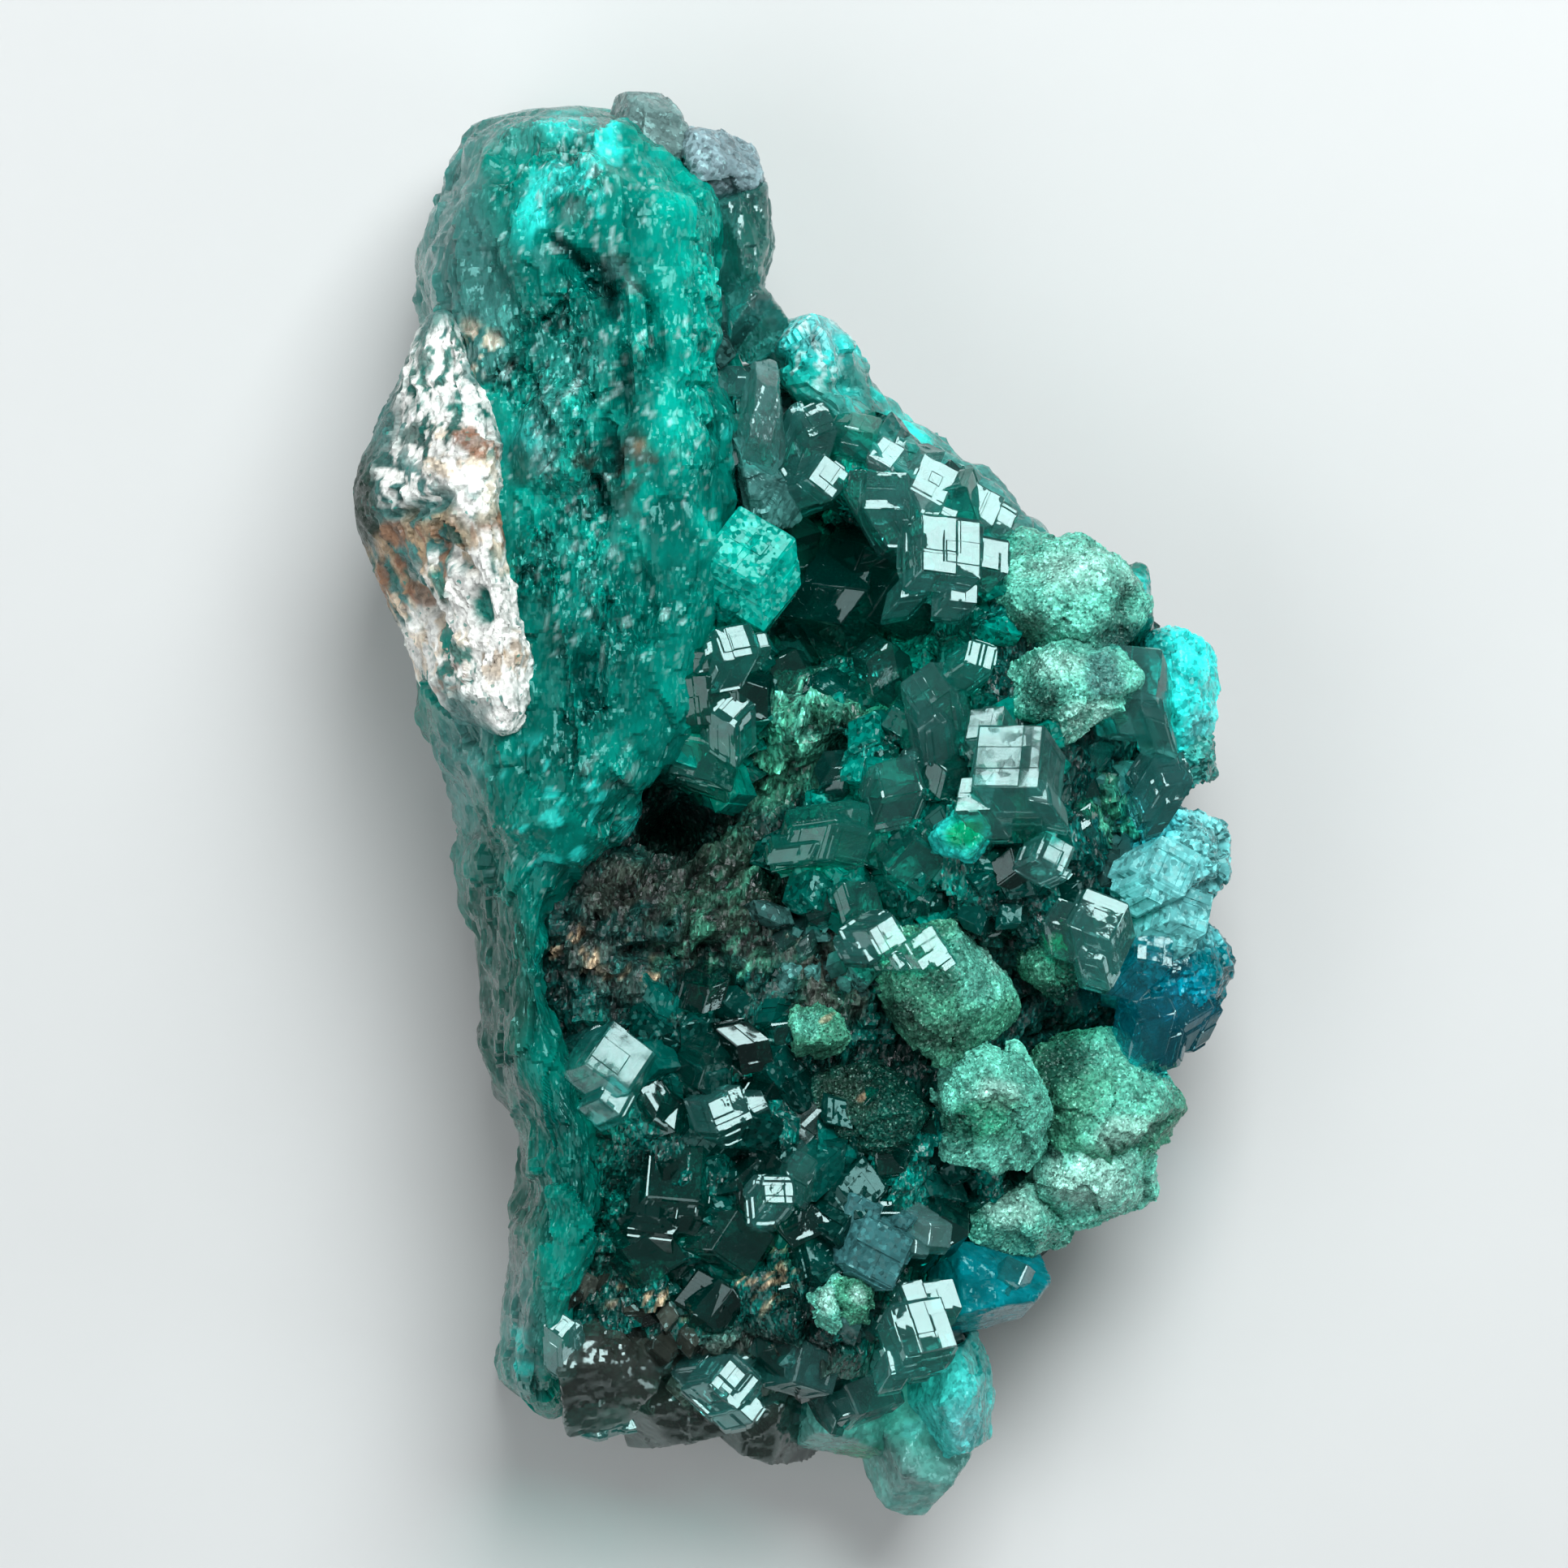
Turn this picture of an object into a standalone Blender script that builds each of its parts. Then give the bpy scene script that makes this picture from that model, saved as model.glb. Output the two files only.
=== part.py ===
"""Dioptase specimen: a broken vein of massive dioptase, a calcite crust on its flank, and crystals beside it.

The specimen lies on its flat back. +X runs across it, +Y along it and +Z up, away from what it lies on.
The origin is on the underside, below the middle of the specimen. Tables are in millimetres and degrees.
"""
import math

import bmesh
import bpy
from mathutils import Matrix, Vector

MM = 0.001

# Driving dimensions, in millimetres.
SEAM = 0.3  # clearance between neighbouring pieces
CHIP_MERGE = 0.002  # points closer than this become one
AXIAL_RATIO = 0.534  # c to a of a dioptase crystal
RHOMB_SLOPE = 4.0 / math.sqrt(3.0) * AXIAL_RATIO  # tangent of the angle from long axis to end face normal
RHOMB_TILT = math.atan(RHOMB_SLOPE)
PRISM_SIDES = 6
BALL_DETAIL = 2  # how finely a rounded crystal's ball is divided
EDGE_ROUND = 1.1  # how far a wall of rock leans in at its foot and its shoulder

SPECIMEN = bpy.data.collections.new("dioptase_specimen")
GUIDES = bpy.data.collections.new("guides")


def clear_scene():
    for thing in list(bpy.data.objects):
        bpy.data.objects.remove(thing, do_unlink=True)
    bpy.context.scene.collection.children.link(SPECIMEN)
    bpy.context.scene.collection.children.link(GUIDES)


def material(name, colour, roughness):
    """One plain finish: a colour and a roughness."""
    finish = bpy.data.materials.new(name)
    finish.use_nodes = True
    shader = finish.node_tree.nodes["Principled BSDF"]
    shader.inputs["Base Color"].default_value = (*colour, 1.0)
    shader.inputs["Roughness"].default_value = roughness
    shader.inputs["Metallic"].default_value = 0.0
    return finish


FINISHES = {
    "massive": material("massive_dioptase", (0.0, 0.30, 0.24), 0.30),
    "clear": material("clear_dioptase", (0.0, 0.16, 0.14), 0.08),
    "pale": material("pale_glassy_dioptase", (0.22, 0.34, 0.32), 0.12),
    "blue": material("blue_green_dioptase", (0.0, 0.14, 0.18), 0.12),
    "coated": material("coated_dioptase", (0.16, 0.46, 0.33), 0.60),
    "calcite": material("calcite_crust", (0.72, 0.66, 0.56), 0.65),
    "rock": material("matrix_rock", (0.07, 0.09, 0.06), 0.75),
}


def direction(tilt, azimuth):
    """The unit vector that leans tilt degrees away from +Z, towards azimuth degrees round from +X."""
    lean = math.radians(tilt)
    turn = math.radians(azimuth)
    return Vector((math.sin(lean) * math.cos(turn), math.sin(lean) * math.sin(turn), math.cos(lean)))


class Crystal:
    """A six-sided prism with three faces at each end, placed by the middle of one end face.

    face is that middle point, tilt and azimuth lean the face, turn is the direction in plan from the face's
    middle to the crystal's tip, radius is the prism's corner radius and reach is half the tip-to-tip length.
    """

    def __init__(self, face, tilt, azimuth, turn, radius, reach):
        self.face = Vector(face)
        self.normal = direction(tilt, azimuth)
        self.turn = math.radians(turn)
        self.radius = radius
        self.reach = reach

    def placement(self):
        """Turns the crystal's own end face onto the wanted one, and moves its middle there."""
        own_normal = Vector((math.sin(RHOMB_TILT), 0.0, math.cos(RHOMB_TILT)))
        own_upslope = Vector((-math.cos(RHOMB_TILT), 0.0, math.sin(RHOMB_TILT)))
        own_frame = Matrix((own_normal, own_upslope, own_normal.cross(own_upslope)))
        across = Vector((math.cos(self.turn), math.sin(self.turn), 0.0))
        upslope = (across - self.normal * across.dot(self.normal)).normalized()
        frame = Matrix((self.normal, upslope, self.normal.cross(upslope))).transposed()
        rotation = frame @ own_frame
        own_middle = Vector((self.radius / 2.0, 0.0, self.reach - self.radius / 2.0 * RHOMB_SLOPE))
        place = self.face - rotation @ own_middle
        return Matrix.Translation(place * MM) @ rotation.to_4x4()

    def shape(self, grow):
        radius = self.radius + grow / math.cos(math.pi / PRISM_SIDES)
        reach = self.reach + grow / math.cos(RHOMB_TILT)
        bm = bmesh.new()
        size = radius * MM
        length = 2.2 * reach * MM
        bmesh.ops.create_cone(
            bm, cap_ends=True, segments=PRISM_SIDES, radius1=size, radius2=size, depth=length
        )
        corner = bm.verts[:][0].co
        bmesh.ops.rotate(bm, verts=bm.verts, matrix=Matrix.Rotation(-math.atan2(corner.y, corner.x), 3, "Z"))
        for end in (1.0, -1.0):
            for side in range(3):
                azimuth = math.radians(120.0 * side)
                outward = Vector(
                    (
                        math.sin(RHOMB_TILT) * math.cos(azimuth),
                        math.sin(RHOMB_TILT) * math.sin(azimuth),
                        math.cos(RHOMB_TILT),
                    )
                )
                cut_off(bm, outward * end, reach * math.cos(RHOMB_TILT) * MM)
        bm.transform(self.placement())
        return bm


class Lump:
    """A rounded or broken crystal: a ball stretched to its half sizes, flattened by a few broken faces."""

    def __init__(self, middle, sizes, facets=()):
        self.middle = Vector(middle)
        self.sizes = Vector(sizes)
        self.facets = facets

    def shape(self, grow):
        bm = bmesh.new()
        bmesh.ops.create_icosphere(bm, subdivisions=BALL_DETAIL, radius=1.0)
        sizes = [(size + grow) * MM for size in self.sizes]
        bmesh.ops.scale(bm, vec=sizes, verts=bm.verts)
        for tilt, azimuth, depth in self.facets:
            cut_off(bm, direction(tilt, azimuth), (depth + grow) * MM)
        bm.transform(Matrix.Translation(self.middle * MM))
        return bm


class Mass:
    """Rock or vein carried along Y: at each place an outline across it, from a foot to its crown.

    Each row holds y, the left and right edges, the foot's height and the crown's heights from left to right.
    """

    def __init__(self, rows):
        self.rows = rows

    def outline(self, row, grow):
        y, left, right, foot, crown = row
        left -= grow
        right += grow
        foot -= grow if foot > 0.0 or grow > 0.0 else 0.0
        lean = min(EDGE_ROUND, (right - left) / 4.0)
        first = crown[0] + grow
        last = crown[-1] + grow
        ring = [(left + lean, foot)]
        ring += [(left, foot + share * (first - foot)) for share in (0.16, 0.66)]
        width = right - left - 2.0 * lean
        for step, height in enumerate(crown):
            ring.append((left + lean + width * step / (len(crown) - 1), height + grow))
        ring += [(right, foot + share * (last - foot)) for share in (0.66, 0.16)]
        ring += [(right - lean, foot)]
        return [Vector((x, y, z)) * MM for x, z in ring]

    def shape(self, grow):
        bm = bmesh.new()
        rings = []
        for index, row in enumerate(self.rows):
            push = grow if index == 0 else -grow if index == len(self.rows) - 1 else 0.0
            moved = (row[0] + push, *row[1:])
            rings.append([bm.verts.new(point) for point in self.outline(moved, grow)])
        count = len(rings[0])
        for near, far in zip(rings, rings[1:]):
            for step in range(count):
                following = (step + 1) % count
                bm.faces.new((near[step], near[following], far[following], far[step]))
        bm.faces.new(rings[0])
        bm.faces.new(rings[-1][::-1])
        bmesh.ops.recalc_face_normals(bm, faces=bm.faces)
        return bm


def cut_off(bm, outward, distance):
    """Cuts away everything beyond a plane and closes the cut."""
    everything = bm.verts[:] + bm.edges[:] + bm.faces[:]
    cut = bmesh.ops.bisect_plane(
        bm, geom=everything, plane_co=outward * distance, plane_no=outward, clear_outer=True, dist=1e-7
    )
    rim = [part for part in cut["geom_cut"] if isinstance(part, bmesh.types.BMEdge)]
    if rim:
        bmesh.ops.contextual_create(bm, geom=rim)
    bmesh.ops.recalc_face_normals(bm, faces=bm.faces)


def new_object(name, bm, collection):
    mesh = bpy.data.meshes.new(name)
    bm.to_mesh(mesh)
    bm.free()
    thing = bpy.data.objects.new(name, mesh)
    collection.objects.link(thing)
    return thing


def new_guide(name, bm):
    guide = new_object(name, bm, GUIDES)
    guide.hide_render = True
    guide.display_type = "WIRE"
    return guide


def boolean(thing, operation, guides):
    """Joins a piece with a group of guides, or cuts the group out of it, in one step."""
    group = bpy.data.collections.new(f"{thing.name}_{operation.lower()}")
    for guide in guides:
        group.objects.link(guide)
    step = thing.modifiers.new(operation.lower(), "BOOLEAN")
    step.operation = operation
    step.solver = "EXACT"
    step.operand_type = "COLLECTION"
    step.collection = group
    return group


def reach_of(thing):
    """The lowest and highest corner of an object."""
    corners = [vertex.co for vertex in thing.data.vertices]
    low = [min(corner[axis] for corner in corners) for axis in range(3)]
    high = [max(corner[axis] for corner in corners) for axis in range(3)]
    return low, high


def meet(one, other):
    (low, high), (other_low, other_high) = one, other
    return all(low[axis] < other_high[axis] and other_low[axis] < high[axis] for axis in range(3))


def pieces_of(bm):
    """The separate bodies of a mesh, each as a set of faces."""
    left = set(bm.faces)
    found = []
    while left:
        start = left.pop()
        body = {start}
        edge_of_search = [start]
        while edge_of_search:
            face = edge_of_search.pop()
            for edge in face.edges:
                for neighbour in edge.link_faces:
                    if neighbour in left:
                        left.remove(neighbour)
                        body.add(neighbour)
                        edge_of_search.append(neighbour)
        found.append(body)
    return found


def settle(thing):
    """Applies the cuts, joins points that all but touch, and drops chips that the cuts left loose."""
    bpy.context.view_layer.update()
    view = bpy.context.evaluated_depsgraph_get()
    evaluated = thing.evaluated_get(view)
    bm = bmesh.new()
    bm.from_mesh(evaluated.to_mesh())
    evaluated.to_mesh_clear()
    bmesh.ops.remove_doubles(bm, verts=bm.verts, dist=CHIP_MERGE * MM)
    bmesh.ops.dissolve_degenerate(bm, edges=bm.edges, dist=CHIP_MERGE * MM)
    bodies = sorted(pieces_of(bm), key=lambda body: sum(face.calc_area() for face in body))
    for chip in bodies[:-1]:
        bmesh.ops.delete(bm, geom=list(chip), context="FACES")
    bmesh.ops.recalc_face_normals(bm, faces=bm.faces)
    thing.modifiers.clear()
    bm.to_mesh(thing.data)
    bm.free()


# Each row: name, finish, and the crystals or lumps grown into one. A row gives way to all rows above it.
CRYSTALS = [
    ("upper_stepped_crystal", "clear", [Crystal((5.10, 8.80, 13.7), 17, 70, 42, 1.50, 1.9)]),
    ("lower_stepped_crystal", "clear", [Crystal((4.15, -17.40, 12.1), 17, 70, 60, 1.35, 1.7)]),
    ("bead_pair", "coated", [
        Lump((0.95, -16.65, 11.7), (0.6, 0.8, 0.9)),
        Lump((1.85, -16.5, 11.8), (0.65, 0.8, 0.9)),
    ]),
    ("shard_pair", "pale", [
        Crystal((4.70, -14.30, 12.3), 25, 40, -50, 0.70, 1.4),
        Crystal((4.1, -14.7, 12.2), 25, 40, -50, 0.45, 1.0),
    ]),
    ("ledge_crystal", "clear", [Crystal((3.80, -4.50, 13.6), 17, 80, -12, 1.25, 1.6)]),
    ("emerald_crystal", "clear", [Crystal((5.60, -0.85, 13.9), 12, 60, 75, 1.05, 1.5)]),
    ("ring_crystal", "pale", [Crystal((8.50, -1.45, 14.0), 14, 60, 20, 0.90, 1.3)]),
    ("small_square_crystal", "clear", [Crystal((6.05, 5.15, 14.4), 17, 70, 30, 0.75, 1.3)]),
    ("blocky_crystal", "clear", [Crystal((6.90, 2.10, 15.4), 20, 150, 130, 2.00, 2.4)]),
    ("sparkling_crystal", "clear", [Crystal((4.15, 4.10, 14.0), 30, 160, 80, 1.10, 1.8)]),
    ("cube_crystal", "clear", [
        Crystal((-0.75, -12.75, 13.0), 16, 80, 48, 0.85, 1.3),
        Crystal((0.1, -12.0, 12.7), 24, 30, 100, 0.75, 1.2),
    ]),
    ("striated_lower_crystal", "clear", [Crystal((-2.40, -10.05, 12.9), 24, 100, -25, 1.10, 1.6)]),
    ("frosted_lower_crystal", "pale", [Crystal((-6.05, -8.30, 13.1), 15, 70, 10, 1.50, 2.0)]),
    ("bottom_stepped_crystal", "pale", [Crystal((-2.20, -19.30, 11.0), 17, 70, 5, 1.10, 1.6)]),
    ("striated_right_crystal", "clear", [Crystal((10.0, -3.50, 13.1), 18, 70, 110, 1.25, 1.8)]),
    ("frosted_crystal", "pale", [Crystal((-1.80, 8.90, 14.7), 18, 60, 95, 1.70, 2.4)]),
    ("blade_crystal", "pale", [Lump((-1.25, 13.2, 13.4), (0.62, 1.75, 1.7), [(70, 10, 0.36)])]),
    ("slab_edge_crystals", "clear", [
        Crystal((-2.10, 5.60, 14.4), 20, 70, 60, 1.00, 1.6),
        Crystal((-2.30, 3.45, 13.9), 20, 70, 95, 0.95, 1.6),
        Crystal((-3.90, 3.60, 13.9), 30, 230, 140, 1.50, 1.9),
        Crystal((-3.60, 1.70, 12.9), 30, 240, 120, 1.20, 1.7),
    ]),
    ("top_edge_crystals", "pale", [
        Lump((-5.0, 22.35, 9.6), (1.55, 1.62, 2.6), [(35, 60, 1.8)]),
        Lump((-2.95, 21.55, 9.8), (1.65, 1.3, 2.6), [(30, 20, 1.9)]),
        Lump((-1.95, 19.25, 9.8), (0.97, 1.9, 2.4), [(30, 340, 1.5)]),
        Lump((-1.85, 16.9, 9.6), (0.72, 1.3, 2.4)),
    ]),
    ("ridge_crystals", "clear", [
        Crystal((0.55, 13.1, 12.0), 25, 70, 70, 0.95, 1.8),
        Crystal((0.95, 11.2, 12.1), 17, 60, 10, 0.95, 1.6),
        Crystal((2.85, 10.7, 12.9), 28, 60, 130, 1.15, 1.9),
        Crystal((4.65, 11.1, 12.6), 22, 60, 20, 1.15, 1.9),
        Crystal((5.10, 10.3, 12.3), 25, 250, 60, 1.20, 1.9),
        Lump((3.0, 12.4, 9.3), (1.9, 1.6, 2.6), [(40, 50, 1.5)]),
    ]),
    ("ridge_knob", "pale", [
        Lump((0.55, 15.3, 8.6), (1.45, 1.52, 2.9), [(45, 60, 1.6)]),
        Lump((-0.75, 15.1, 8.4), (1.1, 1.2, 2.6)),
    ]),
    ("ridge_end_crystal", "pale", [
        Lump((6.2, 10.25, 8.8), (1.45, 1.5, 2.9), [(38, 50, 1.5)]),
        Lump((7.2, 9.3, 8.4), (1.1, 0.95, 2.5)),
    ]),
    ("coated_upper_crystal", "coated", [
        Lump((9.1, 6.95, 10.3), (2.6, 2.15, 3.3), [(30, 70, 2.5), (35, 330, 2.6)]),
    ]),
    ("coated_inner_crystal", "coated", [Lump((8.75, 4.0, 11.6), (1.75, 1.5, 3.0), [(20, 60, 2.3)])]),
    ("smooth_grey_crystal", "pale", [Crystal((11.25, 4.50, 12.6), 25, 30, 130, 1.75, 2.3)]),
    ("rim_crystals", "blue", [
        Lump((12.75, 3.9, 8.2), (1.4, 2.4, 2.7), [(45, 20, 1.6)]),
        Lump((13.05, 1.8, 7.6), (1.12, 1.1, 2.3)),
        Lump((11.2, 7.1, 8.8), (0.8, 1.1, 2.3)),
    ]),
    ("green_nodule", "coated", [Lump((4.95, -6.15, 10.6), (2.25, 2.15, 3.2), [(25, 60, 2.7)])]),
    ("small_nodule", "coated", [Lump((0.65, -7.45, 11.2), (1.05, 0.75, 1.8))]),
    ("bright_nodule", "coated", [Lump((6.4, -9.9, 10.4), (1.85, 1.9, 3.0), [(20, 90, 2.6)])]),
    ("shaded_nodule", "coated", [Lump((2.3, -10.2, 9.8), (2.05, 1.9, 2.7), [(20, 200, 2.2)])]),
    ("dark_nodule", "coated", [Lump((8.55, -5.05, 9.6), (1.25, 1.15, 2.6))]),
    ("right_edge_crystals", "blue", [
        Lump((12.85, -1.75, 7.8), (1.95, 1.6, 3.1), [(35, 30, 2.0)]),
        Lump((12.55, -5.55, 7.4), (2.3, 2.25, 3.0), [(30, 330, 2.2)]),
        Crystal((12.4, -3.5, 11.3), 28, 20, 110, 1.8, 2.4),
    ]),
    ("coated_mass", "coated", [
        Lump((10.1, -10.0, 7.6), (2.7, 2.5, 3.6), [(30, 20, 2.6)]),
        Lump((9.5, -12.3, 7.2), (2.2, 1.95, 3.4), [(30, 300, 2.4)]),
        Lump((7.1, -14.0, 7.4), (1.9, 1.2, 2.8)),
    ]),
    ("teal_edge_crystal", "blue", [Lump((6.45, -16.35, 8.0), (1.75, 1.15, 2.9), [(30, 320, 2.0)])]),
    ("grey_face_crystal", "clear", [Crystal((2.65, -14.9, 12.5), 12, 250, 20, 1.45, 1.9)]),
    ("dark_lower_crystals", "clear", [
        Crystal((-4.2, -12.2, 12.0), 22, 250, 40, 1.6, 2.1),
        Crystal((-4.9, -15.0, 11.7), 25, 210, 80, 1.4, 1.9),
        Crystal((-1.9, -14.6, 11.9), 20, 300, 10, 1.4, 1.9),
        Crystal((-2.6, -16.8, 11.2), 25, 240, 100, 1.3, 1.8),
        Crystal((-0.4, -16.6, 11.2), 25, 300, 60, 1.0, 1.7),
    ]),
    ("middle_crystals", "clear", [
        Crystal((1.7, -1.3, 13.4), 18, 230, 30, 1.9, 2.4),
        Crystal((3.3, 1.1, 13.3), 20, 120, 60, 1.1, 1.7),
        Crystal((3.9, -1.9, 13.2), 22, 300, 100, 1.2, 1.9),
    ]),
    ("cavity_crystals", "clear", [
        Crystal((1.4, 8.6, 9.6), 25, 60, 40, 1.7, 2.3),
        Crystal((3.7, 6.8, 9.8), 25, 160, 20, 1.7, 2.3),
        Crystal((1.2, 6.3, 9.0), 28, 40, 80, 1.4, 1.9),
    ]),
    ("tip_crystal", "pale", [
        Lump((3.85, -21.85, 4.6), (1.55, 2.19, 2.7), [(35, 250, 1.9), (45, 20, 1.5)]),
    ]),
    ("corner_crystals", "blue", [Lump((5.4, -20.1, 6.4), (0.95, 2.3, 3.0), [(40, 350, 1.2)])]),
    ("bottom_crystals", "pale", [
        Crystal((-6.5, -18.6, 10.9), 14, 250, 100, 2.1, 2.9),
        Crystal((-4.3, -20.3, 8.9), 24, 262, 75, 1.7, 2.4),
        Crystal((-1.5, -20.6, 8.6), 22, 275, 110, 1.7, 2.4),
        Crystal((1.3, -20.7, 8.0), 24, 262, 80, 1.8, 2.4),
    ]),
]

# Each row: y, left edge, right edge, foot height, crown heights from left to right.
CALCITE_ROWS = [
    (16.6, -12.6, -11.5, 8.6, (12.8, 13.2, 13.4)),
    (15.0, -13.4, -10.6, 5.4, (12.8, 14.2, 14.6)),
    (13.0, -14.3, -9.7, 4.2, (12.6, 14.8, 15.0)),
    (10.5, -14.93, -9.4, 3.6, (12.2, 14.8, 15.2)),
    (8.0, -14.1, -9.0, 3.6, (12.4, 14.9, 15.3)),
    (5.5, -13.1, -8.5, 4.8, (13.0, 15.0, 15.3)),
    (4.0, -12.2, -8.8, 8.0, (14.0, 15.1, 15.2)),
    (2.7, -10.6, -9.4, 11.6, (14.2, 14.9, 14.6)),
]

SLAB_ROWS = [
    (23.75, -9.6, -6.0, 3.4, (8.6, 9.0, 8.6)),
    (22.9, -11.1, -4.2, 0.0, (11.2, 12.0, 11.4)),
    (20.5, -12.0, -2.7, 0.0, (12.8, 14.2, 13.4)),
    (18.3, -12.65, -2.5, 0.0, (13.0, 14.7, 14.0)),
    (15.0, -12.3, -2.3, 0.0, (13.4, 14.7, 14.5)),
    (11.0, -12.3, -2.1, 0.0, (13.6, 14.5, 14.7)),
    (7.5, -12.4, -2.0, 0.0, (13.6, 14.4, 14.5)),
    (4.2, -12.85, -2.6, 0.0, (13.0, 14.4, 14.1)),
    (2.0, -12.2, -3.2, 0.0, (12.6, 14.2, 13.4)),
    (-0.5, -11.1, -5.2, 0.0, (12.2, 13.8, 13.0)),
    (-2.2, -11.45, -6.6, 0.0, (11.6, 13.2, 12.8)),
    (-5.0, -10.7, -7.9, 0.0, (11.6, 12.8, 12.6)),
    (-8.5, -10.5, -7.3, 0.0, (11.6, 12.6, 12.2)),
    (-11.0, -9.4, -6.2, 0.0, (11.8, 12.8, 12.4)),
    (-14.2, -9.5, -6.0, 0.0, (11.4, 12.6, 12.0)),
    (-17.0, -10.0, -7.4, 0.0, (10.8, 11.8, 11.2)),
    (-19.4, -10.2, -7.9, 0.0, (9.2, 9.8, 9.4)),
    (-20.8, -9.2, -8.0, 2.6, (6.0, 6.2, 6.0)),
]

ROCK_ROWS = [
    (15.0, -3.4, 1.2, 0.0, (8.0, 8.4, 8.4, 8.0, 6.5)),
    (12.6, -3.6, 3.7, 0.0, (12.3, 11.6, 10.2, 9.4, 6.8)),
    (10.2, -3.6, 6.4, 0.0, (12.0, 8.0, 9.4, 12.2, 7.2)),
    (8.0, -3.8, 9.9, 0.0, (11.6, 7.0, 7.6, 12.4, 7.4)),
    (5.8, -5.0, 12.0, 0.0, (11.6, 7.6, 8.0, 11.8, 7.6)),
    (3.2, -6.5, 13.0, 0.0, (10.4, 10.6, 11.4, 13.0, 8.0)),
    (0.3, -7.0, 12.5, 0.0, (9.6, 8.6, 11.8, 13.0, 8.2)),
    (-3.0, -9.0, 13.4, 0.0, (12.2, 11.6, 11.8, 12.8, 7.0)),
    (-6.0, -9.2, 13.3, 0.0, (11.8, 11.6, 11.2, 10.2, 6.6)),
    (-9.0, -9.0, 11.6, 0.0, (11.2, 11.6, 10.9, 10.6, 6.4)),
    (-12.0, -8.5, 10.4, 0.0, (11.2, 11.8, 11.5, 10.3, 6.2)),
    (-15.0, -8.5, 7.8, 0.0, (10.6, 10.9, 11.3, 11.2, 6.2)),
    (-18.0, -8.9, 5.6, 0.0, (9.6, 9.9, 10.8, 11.4, 6.0)),
    (-20.3, -8.2, 4.9, 0.0, (6.8, 7.4, 7.8, 7.0, 5.0)),
    (-21.3, -6.4, 4.1, 1.8, (4.4, 4.8, 4.8, 4.4, 3.8)),
]

MASSES = [
    ("calcite_patch", "calcite", [Mass(CALCITE_ROWS)]),
    ("vein_slab", "massive", [Mass(SLAB_ROWS)]),
    ("matrix_rock", "rock", [Mass(ROCK_ROWS)]),
]


def build_specimen():
    """Makes each piece from its members, then cuts the sockets of the pieces named before it."""
    sockets = []
    for name, finish, members in CRYSTALS + MASSES:
        piece = new_object(name, members[0].shape(0.0), SPECIMEN)
        piece.data.materials.append(FINISHES[finish])
        more = []
        for number, member in enumerate(members[1:], 2):
            more.append(new_guide(f"{name}_part_{number}", member.shape(0.0)))
        own = []
        for number, member in enumerate(members, 1):
            own.append(new_guide(f"{name}_socket_{number}", member.shape(SEAM)))
        spans = [reach_of(guide) for guide in own]
        cutters = [socket for socket, span in sockets if any(meet(span, mine) for mine in spans)]
        groups = []
        if more:
            groups.append(boolean(piece, "UNION", more))
        if cutters:
            groups.append(boolean(piece, "DIFFERENCE", cutters))
        settle(piece)
        for group in groups:
            bpy.data.collections.remove(group)
        sockets += list(zip(own, spans))


clear_scene()
build_specimen()
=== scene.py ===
"""Dioptase specimen: a broken vein of massive dioptase beside crystals on dark rock, with a calcite crust.

The specimen lies on its flat back, and +X runs across it, +Y along it and +Z up. Tables are in millimetres
and degrees. Each surface is a function of two parameters, worked out as whole arrays.
"""
import math

import bpy
import numpy as np
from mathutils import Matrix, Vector
from bpy.props import FloatProperty, FloatVectorProperty, IntProperty, PointerProperty


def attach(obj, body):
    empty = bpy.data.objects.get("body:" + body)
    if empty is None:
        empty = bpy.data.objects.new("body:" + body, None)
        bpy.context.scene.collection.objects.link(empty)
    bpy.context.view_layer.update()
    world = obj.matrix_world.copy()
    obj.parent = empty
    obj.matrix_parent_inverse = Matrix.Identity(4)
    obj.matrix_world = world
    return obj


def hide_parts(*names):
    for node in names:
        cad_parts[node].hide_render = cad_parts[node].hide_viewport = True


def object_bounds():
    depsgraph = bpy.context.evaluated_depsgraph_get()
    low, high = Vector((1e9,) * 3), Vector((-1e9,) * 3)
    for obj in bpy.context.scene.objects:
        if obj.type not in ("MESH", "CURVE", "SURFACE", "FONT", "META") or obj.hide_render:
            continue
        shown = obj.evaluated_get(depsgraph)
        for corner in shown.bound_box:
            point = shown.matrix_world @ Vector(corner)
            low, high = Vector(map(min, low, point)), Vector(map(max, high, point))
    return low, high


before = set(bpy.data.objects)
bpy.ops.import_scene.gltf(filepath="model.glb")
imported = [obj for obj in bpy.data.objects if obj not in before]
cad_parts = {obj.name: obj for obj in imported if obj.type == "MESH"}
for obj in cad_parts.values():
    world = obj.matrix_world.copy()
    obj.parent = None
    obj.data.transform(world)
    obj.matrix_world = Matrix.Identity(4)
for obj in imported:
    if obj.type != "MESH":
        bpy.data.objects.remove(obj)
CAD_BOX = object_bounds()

bl_info = {
    "name": "Dioptase specimen",
    "version": (1, 0, 0),
    "blender": (4, 5, 0),
    "location": "3D View > Sidebar > Specimen",
    "description": "Builds the surfaces and finishes of a dioptase specimen, and its stage",
    "category": "Object",
}

MM = 0.001
BODY = "root"
AXIAL_RATIO = 0.534
END_SLOPE = 4.0 / math.sqrt(3.0) * AXIAL_RATIO
END_TILT = math.atan(END_SLOPE)
GOLDEN_ANGLE = 2.399963
BOX_MARGIN = 0.3
LINE_DEPTH = 0.00004
CLUSTER_RADIUS = 0.5
STEPPED_RADIUS = 0.7
LENS_LENGTH = 200.0
CAMERA_PLACE = (-0.00055, 0.000855, 0.305)

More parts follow.
